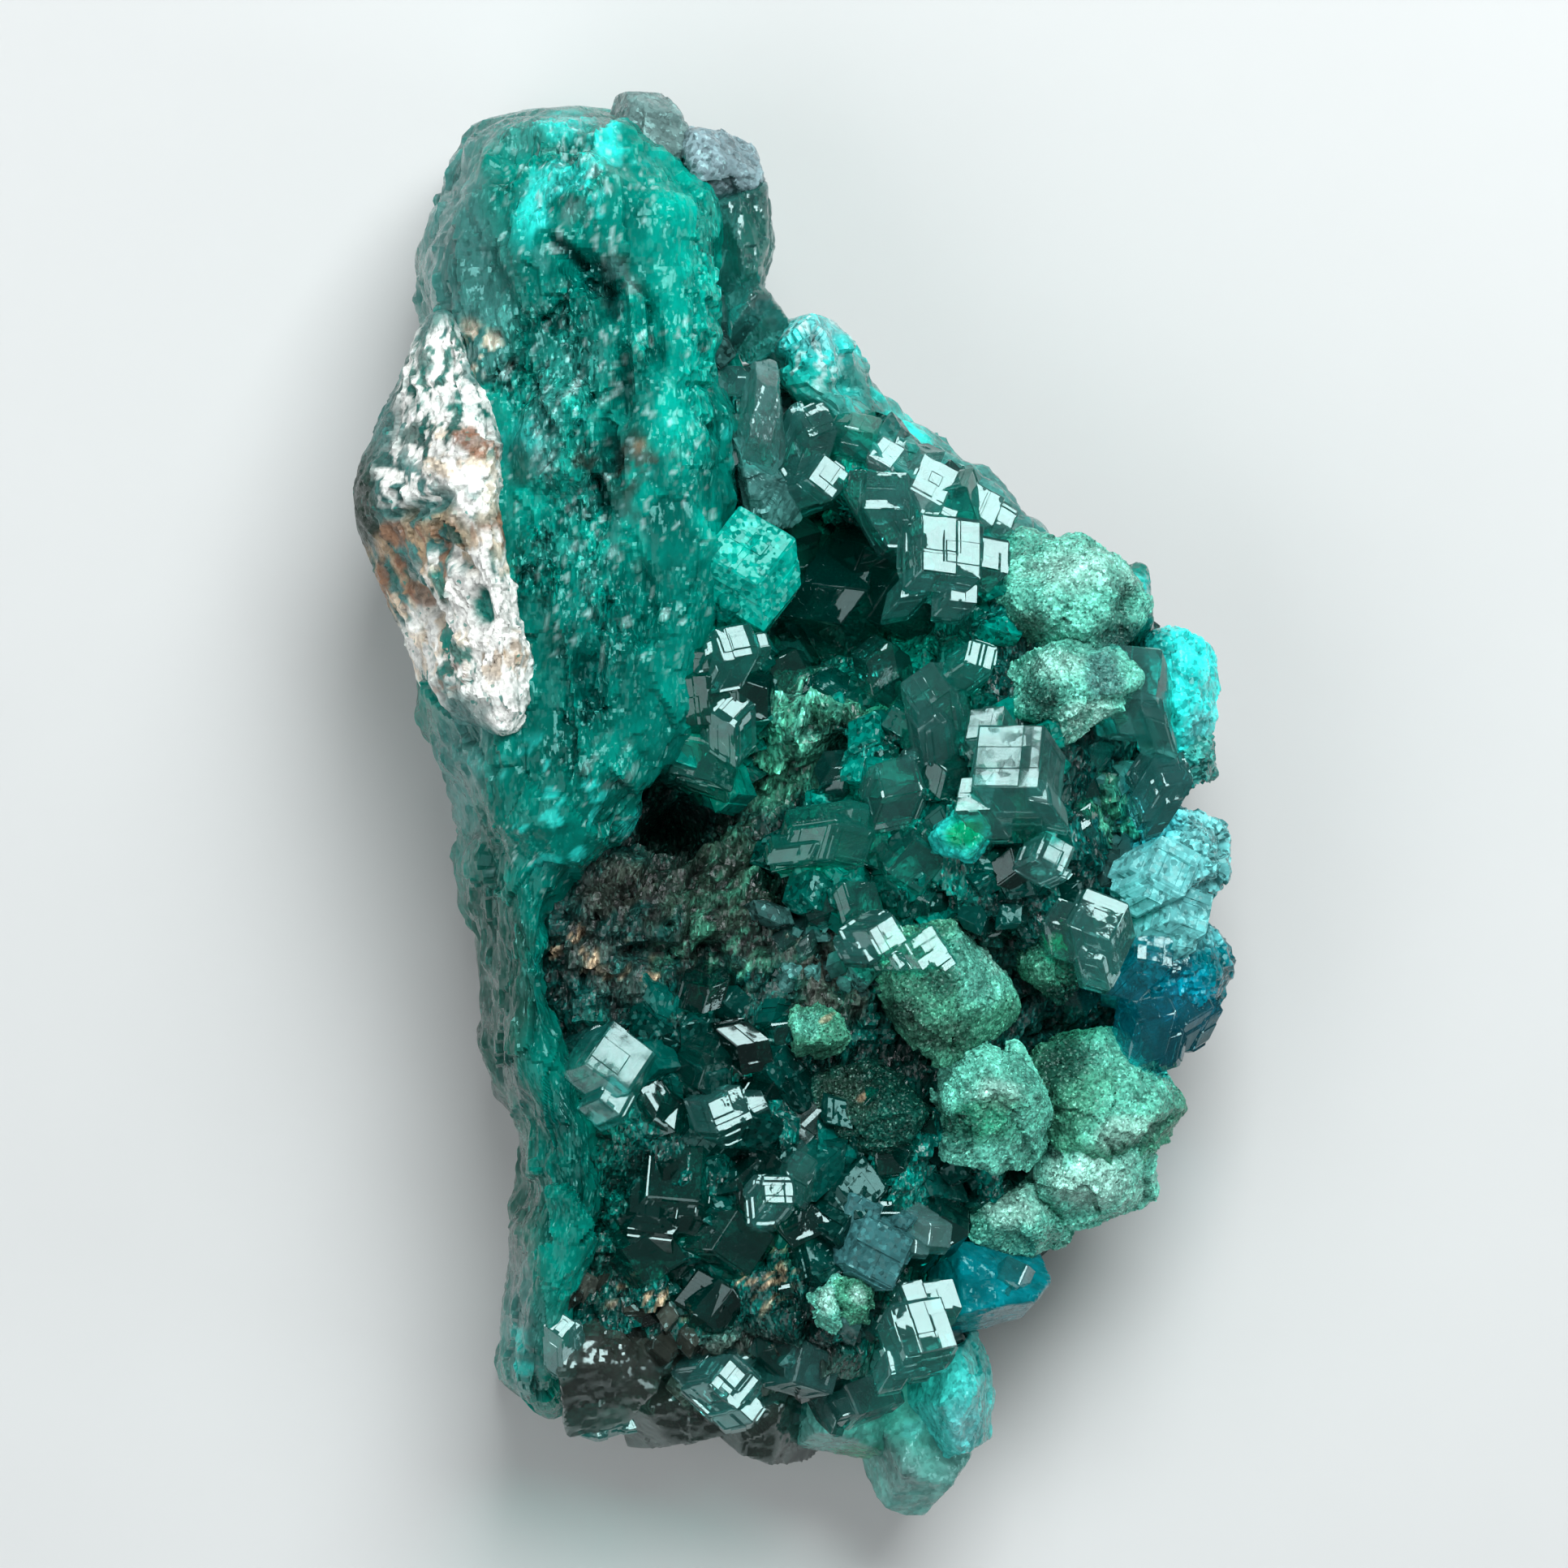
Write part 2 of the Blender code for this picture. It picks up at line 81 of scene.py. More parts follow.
# Colours, as linear red, green and blue. Those named clear say how much light a clear crystal lets in.
COLOURS = {
    # glow is painted light: the glow of light shining through the crystal, put in as a brighter teal.
    "glow": (0.0, 0.31, 0.24),
    "teal": (0.0, 0.155, 0.12),
    "deep_teal": (0.0, 0.09, 0.072),
    "dark_teal": (0.0, 0.035, 0.030),
    "slope": (0.03, 0.22, 0.19),
    # ice is painted light: the colour of small glints put into the surface.
    "ice": (0.40, 0.62, 0.60),
    "ice_teal": (0.12, 0.42, 0.42),
    "cyan": (0.02, 0.54, 0.48),
    "emerald": (0.0, 0.30, 0.13),
    "grey_teal": (0.055, 0.18, 0.165),
    "smoke": (0.13, 0.22, 0.21),
    "grey_brown": (0.055, 0.066, 0.054),
    "olive": (0.015, 0.035, 0.023),
    "brown": (0.027, 0.028, 0.021),
    "tan": (0.40, 0.28, 0.17),
    "moss": (0.06, 0.29, 0.185),
    "mint": (0.11, 0.46, 0.35),
    "pale_mint": (0.38, 0.72, 0.61),
    "dark_green": (0.002, 0.043, 0.031),
    "white": (0.90, 0.90, 0.85),
    "cream": (0.72, 0.60, 0.46),
    "rust": (0.24, 0.11, 0.06),
    "blue": (0.0, 0.21, 0.30),
    "steel": (0.17, 0.25, 0.27),
    "black": (0.004, 0.012, 0.010),
    "blue_teal": (0.0, 0.145, 0.17),
    "bright_cyan": (0.03, 0.75, 0.70),
    "tip_teal": (0.12, 0.34, 0.30),
    "corner_teal": (0.05, 0.42, 0.39),
    "grey_blue": (0.04, 0.15, 0.155),
    "low_teal": (0.0, 0.115, 0.088),
    "low_rim": (0.014, 0.07, 0.052),
    "deep_milk": (0.0, 0.06, 0.049),
    "clear": (0.03, 0.40, 0.34),
    "clear_deep": (0.0, 0.12, 0.10),
    "clear_grey": (0.10, 0.38, 0.355),
    "clear_pale": (0.32, 0.58, 0.57),
    "clear_brown": (0.15, 0.17, 0.145),
    "clear_blue": (0.0, 0.28, 0.34),
    "clear_teal": (0.03, 0.34, 0.31),
}


# Numbers that look random but are the same in every run.

def mix_bits(x, y, z, seed):
    """A number from 0 to 1 for each whole-numbered place: its bits are multiplied and folded together."""
    bits = (x * 73856093) ^ (y * 19349663) ^ (z * 83492791) ^ (seed * 40503 + 977)
    bits &= 0x7FFFFFFF
    bits = ((bits ^ (bits >> 13)) * 1274126177) & 0x7FFFFFFF
    bits = ((bits ^ (bits >> 16)) * 668265263) & 0x7FFFFFFF
    return (bits ^ (bits >> 15)) / float(0x7FFFFFFF)


def soft_noise(points, size, seed):
    """Rounded noise from -1 to 1: random values on a lattice of the given size, blended in between."""
    scaled = points / size
    cell = np.floor(scaled).astype(np.int64)
    part = scaled - cell
    part = part * part * (3.0 - 2.0 * part)
    total = np.zeros(len(points))
    for corner in range(8):
        step = np.array([corner & 1, corner >> 1 & 1, corner >> 2 & 1])
        weight = np.prod(np.where(step, part, 1.0 - part), axis=1)
        place = cell + step
        total += weight * mix_bits(place[:, 0], place[:, 1], place[:, 2], seed)
    return total * 2.0 - 1.0


def layered_noise(points, size, seed, layers=3):
    """Soft noise summed over layers, each half as large and half as strong as the one before."""
    total = np.zeros(len(points))
    for layer in range(layers):
        total += soft_noise(points, size / 2.0 ** layer, seed + layer) / 2.0 ** layer
    return total


def broken_faces(points, size, seed, lean=1.0, step=0.5):
    """Flat broken faces, as a height from about -1 to 1.

    Space is split into the cells nearest to jittered lattice points. In each cell the height is the offset
    from its point times that cell's random lean, plus a random step.
    """
    scaled = points / size
    cell = np.floor(scaled).astype(np.int64)
    nearest = np.full(len(points), 1e9)
    chosen = np.zeros((len(points), 3), dtype=np.int64)
    offset = np.zeros((len(points), 3))
    for number in range(27):
        place = cell + np.array([number % 3 - 1, number // 3 % 3 - 1, number // 9 - 1])
        columns = place[:, 0], place[:, 1], place[:, 2]
        jitter = np.stack([mix_bits(*columns, seed + axis) for axis in range(3)], axis=1)
        gap = scaled - place - jitter
        distance = (gap * gap).sum(axis=1)
        closer = distance < nearest
        nearest = np.where(closer, distance, nearest)
        chosen[closer] = place[closer]
        offset[closer] = gap[closer]
    columns = chosen[:, 0], chosen[:, 1], chosen[:, 2]
    leans = np.stack([mix_bits(*columns, seed + 11 + axis) for axis in range(3)], axis=1) * 2.0 - 1.0
    steps = mix_bits(*columns, seed + 17) * 2.0 - 1.0
    return (offset * leans).sum(axis=1) * lean + steps * step


# Surfaces.

def smooth_through(points, samples, closed):
    """A Catmull-Rom curve through the points along their first axis, read at samples counted in points."""
    count = len(points)
    base = np.floor(samples).astype(int)
    if not closed:
        base = np.clip(base, 0, count - 2)
    part = (samples - base).reshape(-1, *[1] * (points.ndim - 1))
    around = []
    for step in (-1, 0, 1, 2):
        index = (base + step) % count if closed else np.clip(base + step, 0, count - 1)
        around.append(points[index])
    before, start, end, after = around
    return 0.5 * (
        2.0 * start
        + (end - before) * part
        + (2.0 * before - 5.0 * start + 4.0 * end - after) * part ** 2
        + (3.0 * start - before - 3.0 * end + after) * part ** 3
    )


def point_normals(points, quads):
    """Outward normals at the points: the sum of the crossed diagonals of the quads round each point."""
    one, two, three, four = (points[quads[:, corner]] for corner in range(4))
    facing = np.cross(three - one, four - two)
    total = np.zeros_like(points)
    for corner in range(4):
        for axis in range(3):
            total[:, axis] += np.bincount(quads[:, corner], facing[:, axis], len(points))
    length = np.linalg.norm(total, axis=1, keepdims=True)
    return total / np.maximum(length, 1e-12)


def ring_of(row, lean=1.1):
    """The outline across a mass at one place along Y: foot, left wall, crown, right wall and foot again."""
    y, left, right, foot, crown = row
    lean = min(lean, (right - left) / 4.0)
    width = right - left - 2.0 * lean
    ring = [(left + lean, foot)]
    ring += [(left, foot + share * (crown[0] - foot)) for share in (0.16, 0.66)]
    ring += [(left + lean + width * step / (len(crown) - 1), height) for step, height in enumerate(crown)]
    ring += [(right, foot + share * (crown[-1] - foot)) for share in (0.66, 0.16)]
    ring += [(right - lean, foot)]
    return [(x, y, z) for x, z in ring]


def mass_surface(rows, spacing, wall_spacing):
    """A closed skin through the outlines of a mass: smooth curves along Y, then round each outline.

    Both ends close in shrinking rings to a pole. Returns points and quads; a pole's quads repeat its point.
    """
    rings = np.array([ring_of(row) for row in rows])
    lengths = np.abs(np.diff(rings[:, 0, 1]))
    along = []
    for number, length in enumerate(lengths):
        count = max(2, int(round(length / spacing)))
        along.append(number + np.arange(count) / count)
    along = np.concatenate(along + [[len(rows) - 1.0]])
    around = []
    count = rings.shape[1]
    for number in range(count):
        gaps = np.linalg.norm(rings[:, (number + 1) % count] - rings[:, number], axis=1)
        crown = 3 <= number < count - 4
        wall = number != count - 1
        each = gaps.max() / (spacing if crown else wall_spacing if wall else 1.6)
        steps = max(2, int(round(each)))
        around.append(number + np.arange(steps) / steps)
    around = np.concatenate(around)
    skin = smooth_through(rings, along, closed=False)
    skin = smooth_through(skin.transpose(1, 0, 2), around, closed=True).transpose(1, 0, 2)
    skin[:, :, 2] = np.maximum(skin[:, :, 2], rings[:, :, 2].min())
    caps = []
    for end, way in ((skin[0], 1.0), (skin[-1], -1.0)):
        middle = end.mean(axis=0)
        shrink = np.array([0.06, 0.14, 0.25, 0.4, 0.6, 0.8]).reshape(-1, 1, 1)
        cap = end + (middle - end) * shrink
        cap[:, :, 1] += way * 0.25 * np.sin(shrink[:, :, 0] * math.pi / 2.0)
        caps.append((cap, middle + np.array([0.0, way * 0.25, 0.0])))
    rows_all = np.concatenate([caps[0][0][::-1], skin, caps[1][0]])
    down, round_count = rows_all.shape[:2]
    points = np.concatenate([rows_all.reshape(-1, 3), [caps[0][1]], [caps[1][1]]])
    here = np.arange(down * round_count).reshape(down, round_count)
    beside = np.roll(here, -1, axis=1)
    quads = np.stack([here[:-1], beside[:-1], beside[1:], here[1:]], axis=-1).reshape(-1, 4)
    first = np.full(round_count, down * round_count)
    last = first + 1
    start = np.stack([first, beside[0], here[0], first], axis=-1)
    finish = np.stack([last, here[-1], beside[-1], last], axis=-1)
    quads = np.concatenate([quads, start, finish])
    if signed_volume(points, quads) < 0.0:
        quads = quads[:, ::-1]
    return points, quads


def grid_quads(number):
    """The quads between the numbered points of a grid."""
    corners = (number[:-1, :-1], number[1:, :-1], number[1:, 1:], number[:-1, 1:])
    return np.stack(corners, axis=-1).reshape(-1, 4)


def signed_volume(points, quads):
    """Six times the volume inside closed quads, positive where they face out."""
    one, two, three, four = (points[quads[:, corner]] for corner in range(4))
    total = (one * np.cross(two, three)).sum() + (one * np.cross(three, four)).sum()
    return total


def ball_grid(cells):
    """Directions over a ball: six square grids of evenly turned lines, welded where they meet."""
    line = np.tan(np.linspace(-math.pi / 4.0, math.pi / 4.0, cells + 1))
    across, up = np.meshgrid(line, line, indexing="ij")
    ahead = np.ones_like(across)
    sides = [
        (ahead, across, up), (-ahead, -across, up), (-across, ahead, up),
        (across, -ahead, up), (-up, across, ahead), (up, across, -ahead),
    ]
    full = np.concatenate([np.stack(side, axis=-1).reshape(-1, 3) for side in sides])
    full /= np.linalg.norm(full, axis=1, keepdims=True)
    _, kept, where = np.unique(np.round(full, 5), axis=0, return_index=True, return_inverse=True)
    number = np.arange((cells + 1) ** 2).reshape(cells + 1, cells + 1)
    quads = np.concatenate([grid_quads(number) + side * (cells + 1) ** 2 for side in range(6)])
    return full[kept], where.reshape(-1)[quads]


def lump_surface(middle, sizes, cells, faces, sharpness, seed, squash=(0.84, 1.0)):
    """A rounded many-faced solid round a middle point.

    In direction u its radius is the soft smallest of d / (n . u) over its planes. Each plane's distance d is
    that of the stretched ball in direction n times a random share.
    """
    rng = np.random.default_rng(seed)
    turn = np.arange(faces) * GOLDEN_ANGLE
    height = 1.0 - 2.0 * (np.arange(faces) + 0.5) / faces
    flat = np.sqrt(1.0 - height ** 2)
    planes = np.stack([flat * np.cos(turn), flat * np.sin(turn), height], axis=1)
    planes += rng.normal(0.0, 0.22, planes.shape)
    planes /= np.linalg.norm(planes, axis=1, keepdims=True)
    distances = np.linalg.norm(planes * np.array(sizes), axis=1) * rng.uniform(*squash, faces)
    ways, quads = ball_grid(cells)
    ways = ways * np.array(sizes)
    ways /= np.linalg.norm(ways, axis=1, keepdims=True)
    facing = np.maximum(ways @ planes.T, 0.0) / distances
    radius = (facing ** sharpness).sum(axis=1) ** (-1.0 / sharpness)
    points = ways * radius[:, None] + np.array(middle)
    if signed_volume(points - np.array(middle), quads) < 0.0:
        quads = quads[:, ::-1]
    return points, quads


# The twelve faces of a crystal by its fourteen corners: the tip, six upper, six lower, and the other tip.
def face_corners():
    """Upper end faces, prism faces and lower end faces, each as four corners turning outwards."""
    faces = []
    for side in (0, 2, 4):
        faces.append((0, 1 + (side - 1) % 6, 1 + side, 1 + (side + 1) % 6))
    for side in range(6):
        following = (side + 1) % 6
        faces.append((1 + side, 7 + side, 7 + following, 1 + following))
    for side in (1, 3, 5):
        faces.append((13, 7 + (side + 1) % 6, 7 + side, 7 + (side - 1) % 6))
    return np.array(faces)


CRYSTAL_FACES = face_corners()


def crystal_corners(radius, reach):
    """Corners of crystals in their own frame: three end faces at each end cut a six-sided prism."""
    side = np.arange(6)
    turn = np.radians(60.0 * side)
    radius = np.atleast_1d(radius)[:, None]
    reach = np.atleast_1d(reach)[:, None]
    near = reach - radius * END_SLOPE
    far = reach - 0.5 * radius * END_SLOPE
    upper = np.where(side % 2 == 0, near, far)
    lower = -np.where(side % 2 == 1, near, far)
    corners = np.zeros((len(radius), 14, 3))
    corners[:, 0, 2] = reach[:, 0]
    corners[:, 13, 2] = -reach[:, 0]
    for start, heights in ((1, upper), (7, lower)):
        corners[:, start:start + 6, 0] = radius * np.cos(turn)
        corners[:, start:start + 6, 1] = radius * np.sin(turn)
        corners[:, start:start + 6, 2] = heights
    return corners


def direction(tilt, azimuth):
    """The unit vector that leans tilt degrees from +Z, towards azimuth degrees round from +X."""
    lean, turn = math.radians(tilt), math.radians(azimuth)
    return np.array([math.sin(lean) * math.cos(turn), math.sin(lean) * math.sin(turn), math.cos(lean)])


def crystal_turn(tilt, azimuth, turn):
    """The rotation that lays a crystal's own end face on the wanted one, its tip towards turn degrees."""
    normal = direction(tilt, azimuth)
    across = np.array([math.cos(math.radians(turn)), math.sin(math.radians(turn)), 0.0])
    upslope = across - normal * across.dot(normal)
    upslope /= np.linalg.norm(upslope)
    wanted = np.stack([normal, upslope, np.cross(normal, upslope)], axis=1)
    own_normal = np.array([math.sin(END_TILT), 0.0, math.cos(END_TILT)])
    own_upslope = np.array([-math.cos(END_TILT), 0.0, math.sin(END_TILT)])
    own = np.stack([own_normal, own_upslope, np.cross(own_normal, own_upslope)], axis=0)
    return wanted @ own


def patch_weights(breaks):
    """Shares of the fourteen corners at each point of twelve ruled faces, with shared borders welded.

    breaks are the grid lines from 0 to 1, the same read from either end. Returns the shares, the quads, each
    quad's face, and for each point its face, its two parameters, and whether it lies inside the face.
    """
    count = len(breaks)
    one, two = np.meshgrid(breaks, breaks, indexing="ij")
    shares = np.stack(
        [(1 - one) * (1 - two), one * (1 - two), one * two, (1 - one) * two], axis=-1,
    ).reshape(-1, 4)
    full = np.zeros((12, count * count, 14))
    for face, corners in enumerate(CRYSTAL_FACES):
        full[face][:, corners] = shares
    full = full.reshape(-1, 14)
    _, kept, where = np.unique(np.round(full, 6), axis=0, return_index=True, return_inverse=True)
    where = where.reshape(-1)
    number = np.arange(count * count).reshape(count, count)
    square = grid_quads(number)
    raw = np.concatenate([square + face * count * count for face in range(12)])
    face_of_quad = np.repeat(np.arange(12), len(square))
    one, two = one.reshape(-1), two.reshape(-1)
    inner = (one > 0.0) & (one < 1.0) & (two > 0.0) & (two < 1.0)
    point_face = kept // (count * count)
    point_at = np.stack([one, two], axis=1)[kept % (count * count)]
    point_inner = inner[kept % (count * count)]
    quad_at = np.stack([one, two], axis=1)[square]
    quad_at = np.tile(quad_at, (12, 1, 1))
    return full[kept], where[raw], face_of_quad, point_face, point_at, point_inner, quad_at


def growth_steps(at, face, breaks, plates, height, rng):
    """Growth terraces on faces: each plate is a rectangle between grid lines, a step higher or lower."""
    total = np.zeros(len(at))
    lines = breaks[2:-2]
    for number in range(12):
        on = face == number
        for plate in range(plates):
            low = rng.integers(0, len(lines) // 2, 2)
            high = rng.integers(len(lines) // 2 + 1, len(lines) + 1, 2)
            start = [0.0 if rng.random() < 0.4 else lines[low[axis]] for axis in range(2)]
            last = lines[np.minimum(high, len(lines) - 1)]
            end = [1.0 if rng.random() < 0.4 else last[axis] for axis in range(2)]
            inside = on.copy()
            for axis in range(2):
                inside &= (at[:, axis] > start[axis] - 1e-6) & (at[:, axis] < end[axis] + 1e-6)
            total[inside] += height * rng.uniform(0.5, 1.3) * (1 if rng.random() < 0.6 else -1)
    return total


def crystal_surface(
    face, tilt, azimuth, turn, radius, reach, seed, steps=0, rounding=0.05, wave=0.028, step_high=0.05,
    uneven=1.0,
):
    """One crystal, its faces as ruled grids, with edges pulled in, gentle waves and growth steps.

    Returns points, quads and each quad corner's place on its face in millimetres.
    """
    rng = np.random.default_rng(seed)
    rim = rounding / radius
    if steps:
        inner = np.sort(rng.uniform(0.14, 0.47, 4))
        inner = np.concatenate([inner, 1.0 - inner[::-1]])
        edges = np.concatenate([inner - 0.008, inner + 0.008])
        breaks = np.sort(np.concatenate([[0.0, rim], edges, [1.0 - rim, 1.0]]))
    else:
        breaks = np.concatenate([[0.0, rim], np.linspace(0.12, 0.88, 6), [1.0 - rim, 1.0]])
    shares, quads, face_of_quad, point_face, at, inner, quad_at = patch_weights(breaks)
    corners = crystal_corners(radius, reach)[0]
    points = shares @ corners
    flat = corners[CRYSTAL_FACES]
    normals = np.cross(flat[:, 1] - flat[:, 0], flat[:, 3] - flat[:, 0])
    normals /= np.linalg.norm(normals, axis=1, keepdims=True)
    fine = soft_noise(points + seed, 0.35, seed + 1) * wave * 0.35
    rise = soft_noise(points + seed, 0.9, seed) * wave + fine
    if steps:
        rise += growth_steps(at, point_face, breaks, steps, step_high, rng)
    rise = np.where(inner, rise, 0.0)
    points = points + normals[point_face] * rise[:, None]
    outward = point_normals(points, quads)
    points = points - outward * (~inner * rounding * 0.38)[:, None]
    rotation = crystal_turn(tilt, azimuth, turn)
    middle = np.array([radius / 2.0, 0.0, reach - radius / 2.0 * END_SLOPE])
    points = points * np.array([1.0, uneven, 1.0])
    points = points @ rotation.T + (np.array(face) - rotation @ middle)
    lengths = np.stack([
        np.linalg.norm(flat[:, 1] - flat[:, 0], axis=1), np.linalg.norm(flat[:, 3] - flat[:, 0], axis=1)
    ], axis=1)
    place = quad_at * lengths[face_of_quad][:, None, :] + rng.uniform(0.0, 9.0, 2)
    return points, quads, place


class Shape:
    """Surfaces gathered for one piece, with each point's tint and finish."""

    def __init__(self):
        self.points, self.quads, self.places, self.tints, self.finishes = [], [], [], [], []
        self.count = 0

    def add(self, points, quads, tint, finish=(0.0, 0.0, 0.0), place=None):
        """Adds one surface. tint and finish are one value or one for each point."""
        self.points.append(points)
        self.quads.append(quads + self.count)
        self.places.append(np.zeros((len(quads), 4, 2)) if place is None else place)
        self.tints.append(np.broadcast_to(np.asarray(tint, dtype=float), (len(points), 3)))
        self.finishes.append(np.broadcast_to(np.asarray(finish, dtype=float), (len(points), 3)))
        self.count += len(points)

    def make(self, name, material, slot, nodes, smooth=None):
        """Makes the mesh from its quads, leaving out repeated corners, and ties the piece to the frame."""
        points = np.concatenate(self.points) * MM
        quads = np.concatenate(self.quads)
        places = np.concatenate(self.places)
        triangle = quads[:, 3] == quads[:, 0]
        loops = np.where(triangle, 3, 4)
        keep = np.ones(quads.shape, dtype=bool)
        keep[triangle, 3] = False
        mesh = bpy.data.meshes.new(name)
        mesh.vertices.add(len(points))
        mesh.vertices.foreach_set("co", points.astype(np.float32).ravel())
        mesh.loops.add(int(loops.sum()))
        mesh.loops.foreach_set("vertex_index", quads[keep].astype(np.int32))
        mesh.polygons.add(len(quads))
        mesh.polygons.foreach_set("loop_start", (np.cumsum(loops) - loops).astype(np.int32))
        mesh.update(calc_edges=True)
        if mesh.validate():
            raise RuntimeError(f"{name} had to be mended")
        uv = mesh.uv_layers.new(name="on_face")
        uv.data.foreach_set("uv", (places[keep] * MM).astype(np.float32).ravel())
        for label, values in (("tint", self.tints), ("finish", self.finishes)):
            colours = np.ones((len(points), 4), dtype=np.float32)
            colours[:, :3] = np.concatenate(values)
            layer = mesh.color_attributes.new(label, "FLOAT_COLOR", "POINT")
            layer.data.foreach_set("color", colours.ravel())
        if smooth is None:
            mesh.shade_flat()
        else:
            mesh.shade_smooth()
            mesh.set_sharp_from_angle(angle=math.radians(smooth))
        mesh.materials.append(material)
        piece = bpy.data.objects.new(name, mesh)
        bpy.context.scene.collection.objects.link(piece)
        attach(piece, BODY)
        if nodes:
            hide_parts(*nodes)
        return piece


def colour(name, strength=1.0):
    return np.array(COLOURS[name]) * strength


def inside_patch(points, x, y, wide, high, turn, soft, wobble, seed):
    """How far each point lies in a turned oval in plan, 1 inside and 0 outside, its rim moved by noise."""
    angle = math.radians(turn)
    across = points[:, 0] - x
    up = points[:, 1] - y
    one = (across * math.cos(angle) + up * math.sin(angle)) / wide
    two = (up * math.cos(angle) - across * math.sin(angle)) / high
    away = np.sqrt(one ** 2 + two ** 2) + wobble * layered_noise(points, max(0.3, min(wide, high)), seed)
    share = np.clip((1.0 + soft - away) / (2.0 * soft), 0.0, 1.0)
    return share * share * (3.0 - 2.0 * share)


def blend_patches(points, tint, patches, soft, wobble, seed):
    """Blends patches of colour over a tint, one after another."""
    for number, (name, *oval, amount) in enumerate(patches):
        share = inside_patch(points, *oval, soft, wobble, seed + number) * amount
        tint += (colour(name) - tint) * share[:, None]
    return tint


def paint(points, base, patches, seed):
    """Soft patches of colour over one base colour."""
    return blend_patches(points, np.tile(colour(base), (len(points), 1)), patches, 0.45, 0.35, seed)


def most_covered(points, least, ovals, soft, seed):
    """The largest of the ovals' strengths at each point, each times how far the point lies in that oval."""
    total = np.full(len(points), least)
    for number, (*oval, amount) in enumerate(ovals):
        total = np.maximum(total, inside_patch(points, *oval, soft, soft, seed + number) * amount)
    return total


def sink(points, normals, pits, seed):
    """Depths of the pits, which only the faces that look up take."""
    depth = np.zeros(len(points))
    for number, (x, y, wide, high, turn, deep) in enumerate(pits):
        depth += deep * inside_patch(points, x, y, wide, high, turn, 0.35, 0.25, seed + number)
    return depth * np.clip(normals[:, 2] * 2.0, 0.0, 1.0)


def scattered_turns(rng, count, lean):
    """Rotations that lean each crystal's axis by up to lean degrees from +Z, and spin it."""
    tilt = np.radians(lean) * np.sqrt(rng.random(count))
    azimuth = rng.uniform(0.0, 2.0 * math.pi, count)
    axis = np.stack([np.sin(tilt) * np.cos(azimuth), np.sin(tilt) * np.sin(azimuth), np.cos(tilt)], axis=1)
    spin = rng.uniform(0.0, 2.0 * math.pi, count)
    helper = np.stack([np.cos(spin), np.sin(spin), np.zeros(count)], axis=1)
    across = helper - axis * (helper * axis).sum(axis=1, keepdims=True)
    across /= np.linalg.norm(across, axis=1, keepdims=True)
    return np.stack([across, np.cross(axis, across), axis], axis=2)


def crystal_cluster(centres, turns, radii, reaches, uneven):
    """Many small crystals at once: fourteen corners each, narrowed, turned and moved to its centre."""
    corners = crystal_corners(radii, reaches)
    corners[:, :, 1] *= uneven[:, None]
    points = np.einsum("nij,ncj->nci", turns, corners) + centres[:, None, :]
    quads = CRYSTAL_FACES[None] + 14 * np.arange(len(centres))[:, None, None]
    return points.reshape(-1, 3), quads.reshape(-1, 4)


# Tables of the masses. Each row: y, left edge, right edge, foot height, crown heights from left to right.
CALCITE_ROWS = [
    (16.6, -12.6, -11.5, 8.6, (12.8, 13.2, 13.4)),
    (15.0, -13.4, -10.6, 5.4, (12.8, 14.2, 14.6)),
    (13.0, -14.3, -9.7, 4.2, (12.6, 14.8, 15.0)),
    (10.5, -14.93, -9.4, 3.6, (12.2, 14.8, 15.2)),
    (8.0, -14.1, -9.0, 3.6, (12.4, 14.9, 15.3)),
    (5.5, -13.1, -8.5, 4.8, (13.0, 15.0, 15.3)),
    (4.0, -12.2, -8.8, 8.0, (14.0, 15.1, 15.2)),
    (2.7, -10.6, -9.4, 11.6, (14.2, 14.9, 14.6)),
]

SLAB_ROWS = [
    (23.75, -9.6, -6.0, 3.4, (8.6, 9.0, 8.6)),
    (22.9, -11.1, -4.2, 0.0, (11.2, 12.0, 11.4)),
    (20.5, -12.0, -2.7, 0.0, (12.8, 14.2, 13.4)),
    (18.3, -12.65, -2.5, 0.0, (13.0, 14.7, 14.0)),
    (15.0, -12.3, -2.3, 0.0, (13.4, 14.7, 14.5)),
    (11.0, -12.3, -2.1, 0.0, (13.6, 14.5, 14.7)),
    (7.5, -12.4, -2.0, 0.0, (13.6, 14.4, 14.5)),
    (4.2, -12.85, -2.6, 0.0, (13.0, 14.4, 14.1)),
    (2.0, -12.2, -3.2, 0.0, (12.6, 14.2, 13.4)),
    (-0.5, -11.1, -5.2, 0.0, (12.2, 13.8, 13.0)),
    (-2.2, -11.45, -6.6, 0.0, (11.6, 13.2, 12.8)),
    (-5.0, -10.7, -7.9, 0.0, (11.6, 12.8, 12.6)),
    (-8.5, -10.5, -7.3, 0.0, (11.6, 12.6, 12.2)),
    (-11.0, -9.4, -6.2, 0.0, (11.8, 12.8, 12.4)),
    (-14.2, -9.5, -6.0, 0.0, (11.4, 12.6, 12.0)),
    (-17.0, -10.0, -7.4, 0.0, (10.8, 11.8, 11.2)),
    (-19.4, -10.2, -7.9, 0.0, (9.2, 9.8, 9.4)),
    (-20.8, -9.2, -8.0, 2.6, (6.0, 6.2, 6.0)),
]

